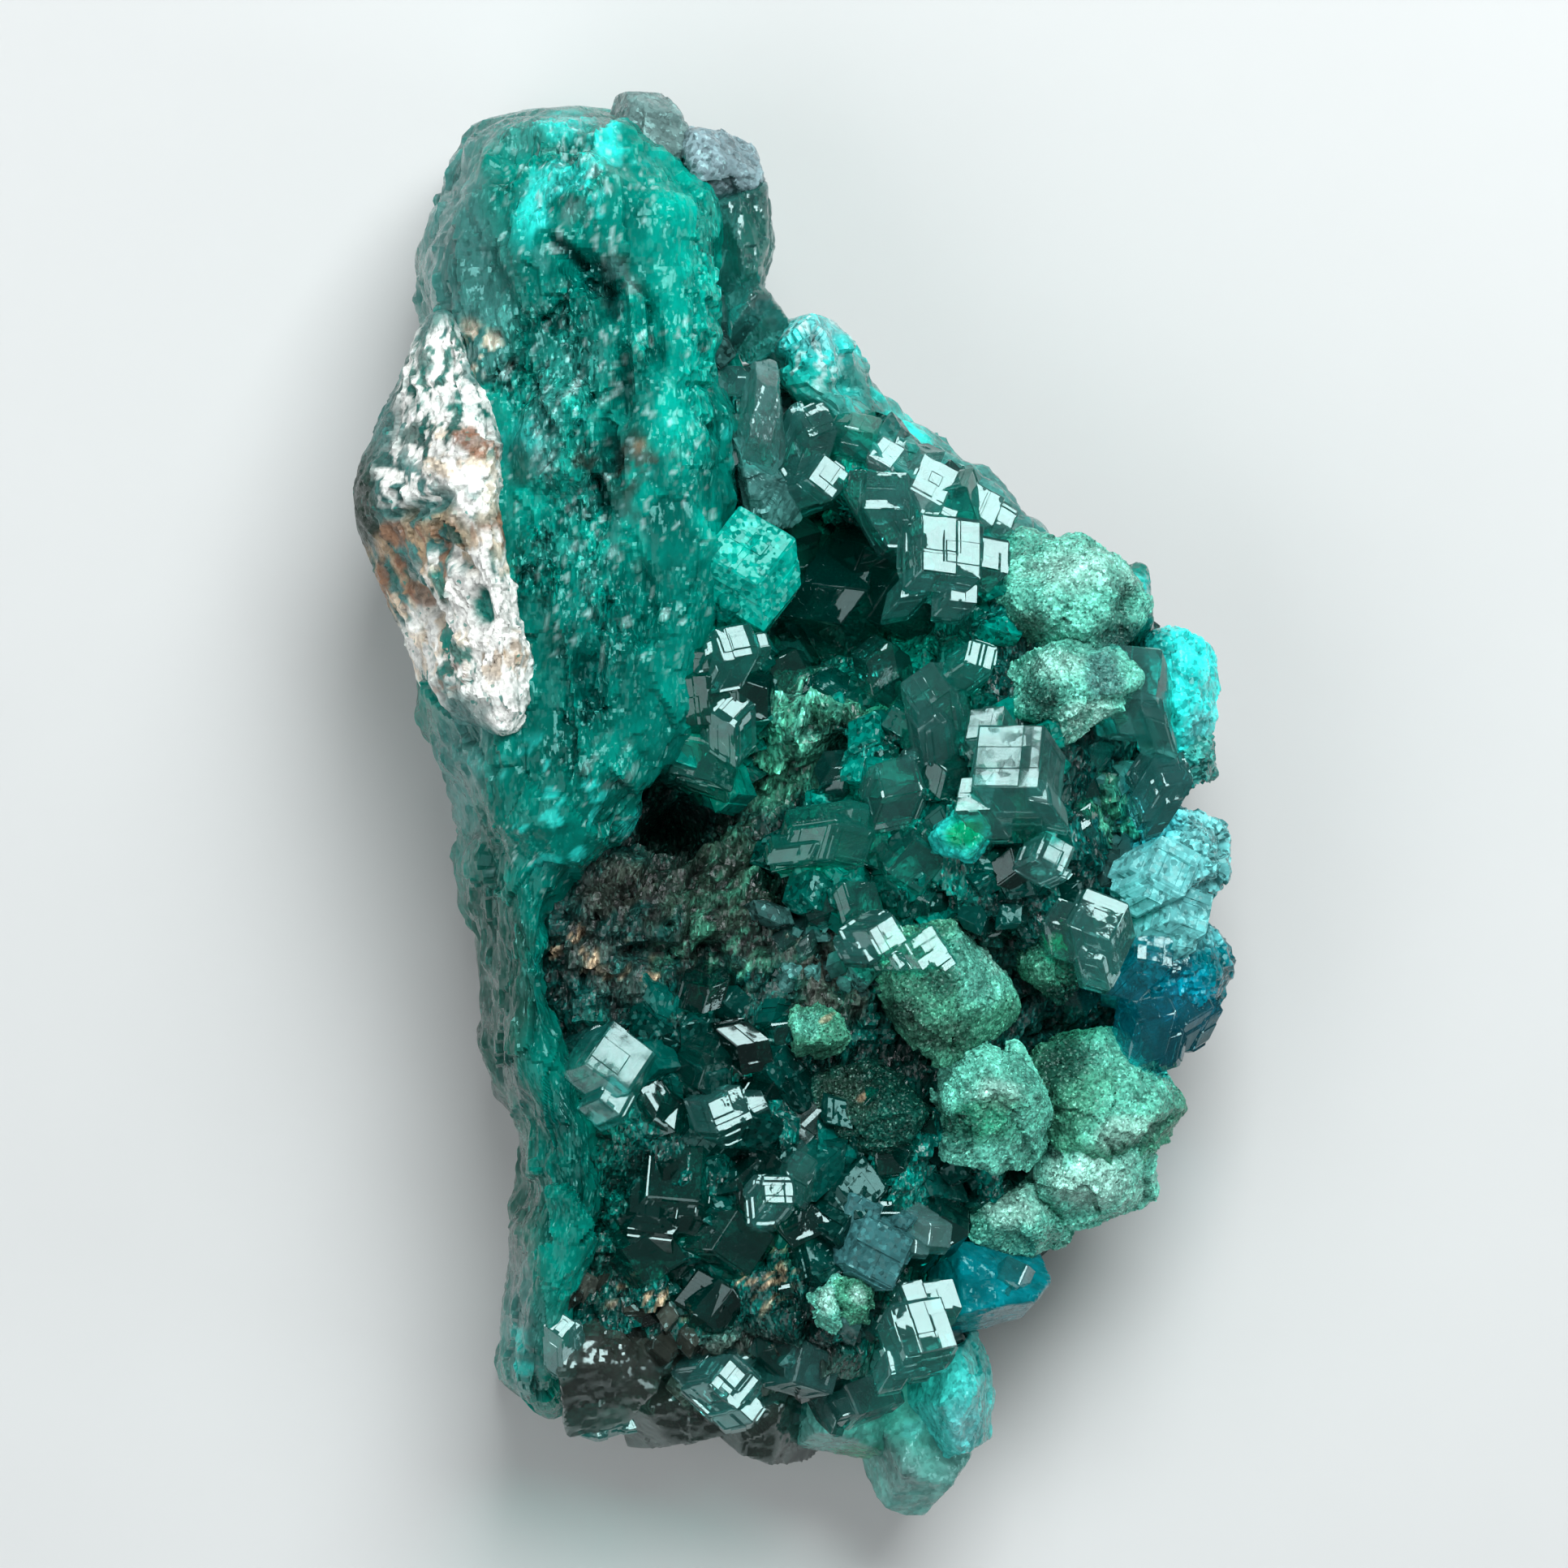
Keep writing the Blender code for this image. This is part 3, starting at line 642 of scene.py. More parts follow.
ROCK_ROWS = [
    (15.0, -3.4, 1.2, 0.0, (8.0, 8.4, 8.4, 8.0, 6.5)),
    (12.6, -3.6, 3.7, 0.0, (12.3, 11.6, 10.2, 9.4, 6.8)),
    (10.2, -3.6, 6.4, 0.0, (12.0, 8.0, 9.4, 12.2, 7.2)),
    (8.0, -3.8, 9.9, 0.0, (11.6, 7.0, 7.6, 12.4, 7.4)),
    (5.8, -5.0, 12.0, 0.0, (11.6, 7.6, 8.0, 11.8, 7.6)),
    (3.2, -6.5, 13.0, 0.0, (10.4, 10.6, 11.4, 13.0, 8.0)),
    (0.3, -7.0, 12.5, 0.0, (9.6, 8.6, 11.8, 13.0, 8.2)),
    (-3.0, -9.0, 13.4, 0.0, (12.2, 11.6, 11.8, 12.8, 7.0)),
    (-6.0, -9.2, 13.3, 0.0, (11.8, 11.6, 11.2, 10.2, 6.6)),
    (-9.0, -9.0, 11.6, 0.0, (11.2, 11.6, 10.9, 10.6, 6.4)),
    (-12.0, -8.5, 10.4, 0.0, (11.2, 11.8, 11.5, 10.3, 6.2)),
    (-15.0, -8.5, 7.8, 0.0, (10.6, 10.9, 11.3, 11.2, 6.2)),
    (-18.0, -8.9, 5.6, 0.0, (9.6, 9.9, 10.8, 11.4, 6.0)),
    (-20.3, -8.2, 4.9, 0.0, (6.8, 7.4, 7.8, 7.0, 5.0)),
    (-21.3, -6.4, 4.1, 1.8, (4.4, 4.8, 4.8, 4.4, 3.8)),
]


def crown_height(rows, x, y):
    """The crown's height of a mass at places in plan, straight between its rows, and -1 outside them."""
    ys = np.array([row[0] for row in rows])[::-1]
    lefts = np.interp(y, ys, [row[1] for row in rows][::-1])
    rights = np.interp(y, ys, [row[2] for row in rows][::-1])
    width = rights - lefts
    lean = np.minimum(1.1, width / 4.0)
    across = (x - lefts - lean) / (width - 2.0 * lean) * (len(rows[0][4]) - 1)
    crowns = np.stack(
        [np.interp(y, ys, [row[4][step] for row in rows][::-1]) for step in range(len(rows[0][4]))]
    )
    held = np.clip(across, 0.0, len(crowns) - 1.001)
    base = held.astype(int)
    part = held - base
    column = np.arange(len(x))
    height = crowns[base, column] * (1.0 - part) + crowns[base + 1, column] * part
    edge = np.clip(np.minimum(x - lefts, rights - x) / lean, 0.0, 1.0)
    outside = (x < lefts) | (x > rights) | (y > ys[-1]) | (y < ys[0])
    return np.where(outside, -1.0, height * (0.66 + 0.34 * edge))


RIDGE_ROWS = [
    (16.6, -0.3, 1.2, 6.5, (9.6, 10.4, 9.0)),
    (15.7, -0.95, 1.85, 5.5, (10.8, 11.6, 9.8)),
    (14.4, -0.9, 2.3, 5.0, (11.2, 11.4, 9.4)),
    (13.4, 0.2, 3.35, 5.0, (11.6, 11.2, 9.0)),
    (12.2, 1.2, 4.85, 5.0, (12.0, 11.2, 8.8)),
    (11.2, 2.6, 6.35, 5.0, (12.2, 11.4, 8.8)),
    (10.2, 3.8, 7.4, 5.0, (12.2, 11.2, 8.6)),
    (9.3, 5.0, 8.3, 5.0, (12.0, 10.8, 8.4)),
    (8.6, 5.8, 8.4, 6.0, (10.4, 10.0, 8.0)),
]

# Each patch of colour: its name, middle x and y, half sizes, turn and strength.
SLAB_PATCHES = [
    ("grey_teal", -11.4, 18.5, 1.5, 5.5, 6, 0.9),
    ("grey_teal", -9.5, 23.2, 2.6, 0.9, 0, 0.6),
    ("deep_teal", -9.4, 16.4, 1.8, 3.4, 0, 0.3),
    ("deep_teal", -7.6, 9.0, 1.9, 4.0, 0, 0.12),
    ("slope", -8.0, 12.8, 1.5, 2.4, 0, 0.6),
    ("deep_teal", -6.9, 4.6, 1.7, 2.8, 0, 0.4),
    # Painted light: the glow patches stand for light shining through the vein.
    ("glow", -3.9, 18.5, 1.1, 5.2, 0, 0.8),
    ("glow", -3.8, 14.0, 0.9, 3.6, 0, 0.9),
    ("teal", -3.9, 7.4, 1.2, 3.6, 0, 0.9),
    ("glow", -7.6, 21.2, 2.6, 1.9, 0, 0.3),
    ("cyan", -8.0, 23.1, 0.8, 0.55, 20, 0.95),
    ("cyan", -6.5, 22.3, 0.45, 0.6, 0, 0.9),
    ("cyan", -7.1, 21.1, 0.5, 0.35, 30, 0.7),
    ("cyan", -8.9, 19.9, 0.5, 0.5, 0, 0.5),
    ("low_teal", -8.0, 0.8, 2.4, 2.4, 0, 0.9),
    ("grey_teal", -11.4, 1.4, 1.1, 3.2, -14, 0.8),
    ("teal", -5.6, 2.0, 1.6, 1.6, 0, 0.5),
    ("cyan", -5.6, -0.6, 0.4, 0.5, 0, 0.8),
    ("low_teal", -7.3, -9.5, 1.5, 7.0, 2, 0.9),
    ("low_teal", -7.2, -12.4, 1.5, 3.4, 0, 0.9),
    ("low_rim", -10.2, -6.5, 1.1, 5.6, 0, 0.95),
    ("low_rim", -9.5, -13.5, 0.9, 4.0, 0, 0.95),
    ("grey_teal", -9.5, -17.8, 0.9, 2.6, 0, 0.7),
    ("cyan", -9.5, -17.9, 0.35, 0.35, 0, 0.7),
    ("cyan", -9.3, -18.8, 0.3, 0.25, 0, 0.6),
    ("brown", -5.6, 11.8, 0.5, 0.7, 0, 0.7),
    ("brown", -6.1, 10.5, 0.6, 0.7, 0, 0.7),
    ("tan", -5.3, 11.9, 0.3, 0.35, 0, 0.6),
    ("grey_brown", -6.2, 18.2, 0.5, 0.4, 0, 0.8),
    # Painted shade: the dark_teal and black patches below darken two pits.
    ("dark_teal", -7.0, 4.3, 0.6, 1.2, 0, 0.6),
    ("black", -4.4, 0.4, 1.1, 0.6, 20, 0.7),
]

SLAB_PITS = [
    (-7.8, 18.6, 0.8, 0.25, -42, 0.6),
    (-6.9, 17.8, 0.8, 0.6, -45, 0.8),
    (-6.2, 16.8, 0.45, 0.7, 10, 0.6),
    (-5.95, 13.9, 0.32, 1.2, -5, 0.8),
    (-6.3, 12.0, 0.28, 1.3, 10, 0.7),
    (-6.7, 10.3, 0.25, 0.9, 15, 0.6),
    (-7.0, 4.3, 0.5, 1.1, 0, 0.5),
    (-10.2, 17.0, 0.6, 2.2, 20, 0.4),
    (-9.0, 6.0, 0.6, 1.6, 0, 0.4),
    (-8.0, 12.4, 1.4, 1.7, 0, -0.8),
    (-5.4, 7.2, 0.5, 1.8, 10, 0.5),
    (-8.4, -4.2, 0.5, 1.3, 0, 0.5),
    (-5.0, 16.0, 0.4, 1.6, 10, 0.4),
    (-7.4, 20.8, 1.2, 1.0, 20, -0.4),
    (-9.6, 21.8, 0.5, 0.9, -30, 0.5),
    (-8.6, 0.6, 2.2, 1.8, 0, -0.6),
    (-4.4, 0.4, 1.0, 0.6, 20, 1.0),
]

# Crisp-edged spots, painted last. The dark_teal spots are painted shade in the pits and the crevices.
SLAB_WINDOWS = [
    ("dark_teal", -7.7, 18.6, 0.75, 0.22, -42, 0.85),
    ("dark_teal", -6.7, 17.7, 0.85, 0.6, -45, 0.85),
    ("dark_teal", -6.25, 16.8, 0.35, 0.55, 10, 0.85),
    ("grey_teal", -6.2, 18.1, 0.4, 0.35, -30, 0.9),
    ("dark_teal", -5.95, 14.1, 0.17, 0.9, -5, 0.65),
    ("dark_teal", -6.3, 12.2, 0.2, 1.0, 10, 0.65),
    ("dark_teal", -6.75, 10.4, 0.15, 0.8, 15, 0.7),
    ("slope", -8.6, 18.3, 0.22, 0.45, 25, 0.8),
]

# Where the vein is broken into small faces: middle x and y, half sizes, turn and strength.
SLAB_BROKEN = [
    (-7.7, 21.0, 1.2, 1.6, 20, 0.8),
    (-9.2, 20.4, 1.0, 0.9, 0, 0.5),
    (-8.2, 14.9, 2.2, 2.6, 20, 1.0),
    (-5.6, 16.2, 1.2, 1.2, 0, 0.8),
    (-3.3, 15.6, 0.7, 4.6, 0, 0.6),
    (-7.7, 10.4, 1.6, 3.2, 0, 1.0),
    (-7.2, 5.0, 1.2, 3.0, -6, 0.9),
    (-5.2, 6.0, 0.9, 1.6, 0, 0.5),
    (-7.0, 1.6, 1.6, 1.0, 0, 0.5),
    (-6.0, -0.8, 1.2, 1.0, 0, 0.6),
    (-8.4, -4.4, 1.2, 1.4, 0, 0.9),
    (-8.0, -12.4, 1.2, 2.2, 0, 0.4),
    (-8.6, 23.0, 2.4, 0.7, 0, 0.4),
]

SLAB_SPECKLES = [
    ("slope", -8.3, 13.4, 2.2, 3.6, 70, 0.5, 0.25, 1.8, 0.5),
    ("dark_teal", -8.2, 13.0, 2.3, 4.2, 70, 0.5, 0.12, 2.4, 0.4),
    ("slope", -7.6, 9.0, 1.5, 3.0, 80, 0.45, 0.25, 2.0, 0.5),
    ("dark_teal", -7.4, 6.2, 1.4, 3.6, 85, 0.45, 0.14, 2.4, 0.4),
    ("smoke", -7.7, 20.9, 1.2, 1.5, 70, 0.4, 0.25, 1.8, 0.6),
    ("cyan", -7.4, 21.4, 2.6, 1.9, 70, 0.7, 0.25, 1.6, 0.8),
    # The ice rows are painted highlights: fine flecks of glint.
    ("ice", -7.6, 20.8, 2.6, 2.6, 75, 0.22, 0.05, 2.6, 0.6),
    ("ice", -8.0, 14.0, 2.4, 4.4, 75, 0.2, 0.07, 2.6, 0.6),
    ("ice", -7.4, 7.0, 1.6, 4.6, 80, 0.2, 0.05, 2.6, 0.5),
    # Painted light: glow streaks of light shining through the vein.
    ("glow", -8.0, 11.6, 2.4, 6.4, 70, 0.8, 0.42, 1.6, 0.75),
    ("ice", -3.2, 15.5, 0.7, 5.0, 80, 0.2, 0.05, 2.4, 0.6),
    ("cyan", -3.6, 12.0, 0.9, 8.0, 85, 0.7, 0.2, 1.8, 0.5),
    ("deep_teal", -4.0, 10.0, 1.4, 10.0, 80, 0.9, 0.25, 2.0, 0.5),
    ("cyan", -8.2, 0.4, 2.2, 1.8, 60, 0.5, 0.12, 1.4, 0.6),
    ("smoke", -6.4, 1.6, 0.8, 0.9, 60, 0.4, 0.2, 1.6, 0.5),
    ("smoke", -6.0, 17.4, 0.6, 0.7, 80, 0.35, 0.4, 1.8, 0.7),
    ("grey_brown", -5.9, 11.6, 0.6, 1.6, 80, 0.4, 0.35, 1.5, 0.8),
    ("dark_teal", -7.4, -9.5, 1.2, 5.5, 85, 0.7, 0.3, 2.0, 0.6),
    ("cream", -11.2, 15.4, 0.9, 1.2, 60, 0.4, 0.25, 1.4, 0.7),
    ("ice", -8.0, 20.5, 3.2, 3.0, 80, 0.14, 0.03, 2.4, 0.6),
    ("ice", -8.2, 12.0, 2.6, 7.0, 75, 0.14, 0.035, 2.4, 0.65),
    ("ice", -3.6, 12.0, 1.4, 10.0, 85, 0.13, 0.02, 2.4, 0.5),
    ("ice", -8.0, -1.0, 2.6, 3.0, 60, 0.14, 0.02, 2.0, 0.5),
]

CALCITE_PATCHES = [
    ("olive", -14.3, 10.6, 0.9, 1.5, 0, 0.9),
    ("grey_teal", -13.6, 10.8, 0.7, 1.6, 0, 0.6),
    ("teal", -12.9, 4.6, 0.8, 1.4, 25, 0.7),
    ("tan", -11.3, 11.9, 1.0, 0.5, -20, 0.5),
    ("white", -10.4, 5.4, 1.3, 2.0, 20, 0.95),
    ("white", -9.8, 3.2, 0.45, 0.75, 8, 1.0),
    ("white", -12.3, 13.9, 1.0, 1.6, 15, 0.6),
    ("white", -11.2, 12.0, 1.3, 1.0, -30, 0.6),
    ("cream", -10.0, 9.6, 0.7, 1.4, 10, 0.7),
    ("olive", -14.5, 9.8, 0.6, 1.5, 0, 0.9),
]

CALCITE_SPECKLES = [
    ("white", -12.0, 14.0, 1.8, 2.4, 20, 0.6, 0.62, 1.5, 1.0),
    ("white", -11.6, 11.0, 2.2, 1.8, -20, 0.45, 0.45, 1.4, 1.0),
    ("white", -11.3, 12.0, 1.6, 1.6, -30, 0.5, 0.5, 1.3, 1.0),
    ("cream", -11.4, 11.6, 1.5, 0.9, -25, 0.4, 0.4, 1.6, 0.9),
    ("rust", -10.9, 12.2, 0.8, 0.45, -30, 0.3, 0.55, 1.6, 0.9),
    ("deep_teal", -12.2, 13.4, 1.8, 2.6, 40, 0.45, 0.17, 1.3, 0.95),
    ("teal", -11.8, 14.4, 1.6, 1.8, 40, 0.4, 0.22, 1.2, 0.9),
    ("tan", -13.2, 8.0, 1.5, 2.6, 115, 0.5, 0.5, 2.6, 0.95),
    ("cream", -12.6, 7.0, 1.2, 2.2, 115, 0.45, 0.35, 2.4, 0.75),
    ("rust", -12.8, 8.2, 1.2, 2.0, 115, 0.35, 0.2, 2.8, 0.8),
    ("deep_teal", -13.0, 7.6, 1.4, 2.6, 115, 0.45, 0.2, 2.6, 0.9),
    ("rust", -9.8, 9.3, 0.6, 1.0, 110, 0.3, 0.55, 1.6, 0.85),
    ("cream", -9.9, 8.6, 0.8, 1.2, 100, 0.35, 0.5, 1.6, 0.9),
    ("white", -11.1, 8.2, 1.0, 1.6, 110, 0.4, 0.4, 1.8, 0.9),
    ("white", -10.8, 5.8, 1.9, 2.6, 110, 0.7, 0.8, 1.6, 1.0),
    ("cream", -12.6, 5.4, 0.8, 1.4, 120, 0.4, 0.5, 1.8, 0.9),
    ("tan", -9.9, 5.0, 0.9, 1.3, 100, 0.35, 0.3, 1.5, 0.7),
    ("rust", -11.6, 4.4, 0.7, 0.5, 30, 0.3, 0.3, 1.5, 0.6),
    ("teal", -11.6, 4.9, 0.7, 0.9, 40, 0.4, 0.4, 1.4, 0.9),
]

CALCITE_PITS = [
    (-12.4, 10.2, 1.0, 0.3, 20, 0.45),
    (-11.3, 14.0, 0.3, 0.9, 20, 0.4),
    (-10.7, 6.7, 0.5, 0.6, 0, 0.4),
    (-12.3, 6.6, 0.25, 1.2, 30, 0.4),
    (-11.6, 8.4, 0.9, 0.25, -35, 0.4),
    (-14.2, 10.6, 0.7, 1.3, 0, -0.3),
]

# The clear green window in the white crust, and its crisp green and brown spots, painted last.
CALCITE_WINDOWS = [
    ("teal", -10.7, 6.7, 0.5, 0.6, 0, 1.0),
    ("deep_teal", -10.75, 6.9, 0.25, 0.3, 0, 0.5),
    ("deep_teal", -12.9, 12.6, 0.55, 0.3, 30, 0.85),
    ("deep_teal", -12.5, 15.0, 0.3, 0.5, 20, 0.85),
    ("teal", -11.5, 13.4, 0.4, 0.22, 0, 0.8),
    ("grey_teal", -10.9, 14.6, 0.22, 0.5, 15, 0.8),
    ("deep_teal", -11.7, 9.1, 0.55, 0.25, -30, 0.85),
    ("grey_teal", -12.5, 10.0, 0.7, 0.25, 20, 0.8),
    ("teal", -12.0, 7.5, 0.2, 0.6, 30, 0.8),
    ("rust", -11.0, 12.3, 0.5, 0.2, -15, 0.75),
    ("rust", -9.75, 9.4, 0.28, 0.55, 15, 0.75),
    ("rust", -13.5, 9.3, 0.3, 0.5, 30, 0.75),
    ("rust", -13.0, 7.2, 0.25, 0.6, 35, 0.65),
    ("tan", -9.6, 5.0, 0.2, 0.35, 10, 0.6),
]

ROCK_PATCHES = [
    ("deep_teal", 2.0, 8.0, 5.0, 6.0, 0, 1.0),
    ("deep_teal", -2.0, -13.5, 6.5, 6.5, 0, 0.35),
    ("deep_teal", 4.0, -12.0, 3.5, 5.0, 0, 0.7),
    ("teal", 3.0, -1.5, 3.0, 2.5, 0, 0.9),
    ("moss", -0.7, 3.0, 2.0, 1.6, 35, 1.0),
    ("moss", 2.2, 3.4, 1.2, 0.7, 0, 0.9),
    ("moss", -1.3, 0.9, 1.2, 0.9, 0, 0.6),
    ("olive", -2.6, -3.0, 3.0, 2.6, 0, 0.9),
    ("brown", -6.2, -3.0, 1.5, 1.2, 0, 0.75),
    ("grey_brown", -6.6, -5.2, 1.6, 0.8, -20, 0.5),
    # Painted shade: black in the deep hole.
    ("black", -4.0, -0.6, 1.1, 0.7, 10, 0.9),
    ("olive", 0.6, -5.2, 1.3, 2.0, 0, 0.8),
    ("deep_teal", -0.6, -6.0, 0.6, 0.8, 0, 0.9),
    # Painted shadow: a black band along the crevice between the rows of nodules.
    ("black", 4.6, -8.7, 5.0, 0.5, 0, 0.6),
    ("moss", 11.6, 0.1, 1.2, 0.9, 0, 0.8),
    ("grey_brown", -3.0, -19.5, 5.5, 1.6, 0, 0.7),
    ("low_teal", -6.7, -11.6, 1.0, 3.8, 0, 0.9),
    ("mint", -0.4, 3.2, 1.7, 1.2, 35, 0.45),
]

ROCK_PITS = [
    (-3.9, -0.6, 1.1, 0.75, 10, 3.0),
    (-0.6, -2.8, 0.35, 1.6, 20, 0.7),
    (-4.8, -4.9, 0.9, 0.4, 0, 0.7),
    (-2.9, -5.3, 0.5, 0.9, 20, 0.7),
    (1.2, 1.4, 0.7, 0.9, 0, 1.2),
]


ROCK_SPECKLES = [
    ("moss", -0.7, 3.0, 2.2, 1.8, 35, 0.4, 0.5, 1.3, 0.8),
    ("dark_green", -0.6, 2.8, 2.2, 1.8, 35, 0.3, 0.3, 1.3, 0.8),
    ("mint", -0.4, 3.6, 1.6, 1.0, 35, 0.3, 0.2, 1.2, 0.7),
    ("olive", -2.6, -3.0, 3.4, 2.6, 60, 0.4, 0.4, 1.8, 0.8),
    ("black", -2.4, -3.4, 3.4, 2.8, 70, 0.4, 0.3, 1.8, 0.8),
    ("moss", -2.6, -4.2, 2.6, 1.8, 60, 0.35, 0.2, 1.8, 0.6),
    ("tan", -6.8, -4.9, 1.9, 0.7, -20, 0.35, 0.2, 1.6, 0.8),
    ("dark_teal", -6.2, -3.4, 2.0, 2.0, 60, 0.6, 0.35, 1.6, 0.8),
    ("moss", 11.4, 0.1, 1.6, 1.2, 0, 0.35, 0.45, 1.2, 0.9),
    ("grey_brown", 0.7, -5.2, 1.6, 2.0, 80, 0.5, 0.45, 2.0, 0.8),
    ("tan", -2.0, -15.2, 4.4, 1.8, 20, 0.25, 0.14, 1.6, 0.7),
    ("mint", 0.4, -14.6, 1.2, 0.7, 0, 0.3, 0.35, 1.2, 0.7),
]

# In each look, relief sets the painted shade: how much lighter raised faces and darker hollows are painted.
SLAB_LOOK = {
    "base": "teal", "patches": SLAB_PATCHES, "speckles": SLAB_SPECKLES, "pits": SLAB_PITS,
    "broken": SLAB_BROKEN, "windows": SLAB_WINDOWS,
    "calm": 0.12, "faces": ((2.1, 0.5), (0.8, 0.28), (0.34, 0.12)), "stretch": 0.6, "swell": 0.3,
    "shade": 0.25, "relief": 1.05,
}
RIDGE_LOOK = {
    "base": "slope",
    "patches": [
        # The glow patches are painted light shining through the ridge.
        ("bright_cyan", 0.5, 15.7, 1.4, 1.1, 20, 0.8), ("ice_teal", 0.6, 16.1, 0.9, 0.6, 20, 0.8),
        ("glow", -0.3, 14.6, 1.0, 0.8, 0, 0.7),
        ("cyan", 3.6, 12.9, 1.0, 0.4, -40, 0.9), ("grey_teal", 4.6, 11.3, 1.4, 0.7, -40, 0.7),
        ("grey_teal", 6.9, 10.4, 1.2, 0.8, -40, 0.8), ("glow", 2.6, 12.8, 0.9, 0.6, -40, 0.6),
        ("teal", 6.2, 9.2, 0.9, 0.8, 0, 0.6),
    ],
    "speckles": [
        # Painted highlights: flecks of glint on the knob.
        ("ice", 0.6, 15.6, 1.5, 1.2, 40, 0.3, 0.2, 1.6, 0.8),
        ("cyan", 2.0, 13.8, 1.8, 1.2, 130, 0.5, 0.25, 2.0, 0.6),
    ],
    "pits": [(1.4, 14.2, 0.5, 0.3, 20, 0.4), (5.6, 10.6, 0.3, 0.7, -40, 0.4)],
    "broken": [(0.4, 15.6, 1.6, 1.4, 0, 0.6)], "calm": 0.25, "faces": ((1.5, 0.35), (0.7, 0.2), (0.3, 0.09)),
    "stretch": 1.0, "swell": 0.25, "shade": 0.3, "relief": 1.2,
}
CALCITE_LOOK = {
    "base": "grey_teal", "patches": CALCITE_PATCHES, "speckles": CALCITE_SPECKLES, "pits": CALCITE_PITS,
    "broken": [(-11.5, 10.0, 6.0, 8.0, 0, 0.9)], "calm": 0.3,
    "faces": ((1.3, 0.22), (0.5, 0.14), (0.24, 0.07)),
    "stretch": 0.8, "swell": 0.2, "shade": 0.1, "relief": 0.5, "windows": CALCITE_WINDOWS, "bumps": 0.12,
}
ROCK_LOOK = {
    "base": "dark_teal", "patches": ROCK_PATCHES, "speckles": ROCK_SPECKLES, "pits": ROCK_PITS,
    "broken": [(0.0, 0.0, 40.0, 40.0, 0, 1.0)], "calm": 1.0,
    "faces": ((1.3, 0.42), (0.6, 0.28), (0.3, 0.14)),
    "stretch": 1.0, "swell": 0.15, "shade": 0.4, "relief": 1.6, "wall": 0.9,
    "crystals": [
        (2.4, 7.6, 4.2, 5.2, 0, 1.0), (3.4, -0.8, 4.8, 3.0, 0, 1.0), (10.4, -2.6, 3.6, 4.0, 0, 1.0),
        (-2.4, -12.6, 6.0, 5.4, 0, 1.0), (3.6, -13.0, 5.0, 4.4, 0, 1.0), (-1.6, -18.8, 7.4, 3.0, 0, 1.0),
    ],
}


def speckle(points, tint, speckles, seed):
    """Covers a share of each oval with crisp spots or streaks of a colour.

    Each row: name, middle x and y, half sizes, turn, spot size, share covered, stretch along the turn and
    strength.
    """
    for number, (name, x, y, wide, high, turn, size, cover, stretch, amount) in enumerate(speckles):
        share = inside_patch(points, x, y, wide, high, turn, 0.3, 0.3, seed + number)
        angle = math.radians(turn)
        along = points[:, 0] * math.cos(angle) + points[:, 1] * math.sin(angle)
        across = points[:, 1] * math.cos(angle) - points[:, 0] * math.sin(angle)
        place = np.stack([along / stretch, across, points[:, 2]], axis=1)
        noise = layered_noise(place, size, seed + 40 + number)
        inside = noise[share > 0.4]
        if len(inside):
            spots = np.clip((noise - np.quantile(inside, 1.0 - cover)) * 7.0 + 0.5, 0.0, 1.0)
            tint += (colour(name) - tint) * (share * spots * amount)[:, None]
    return tint


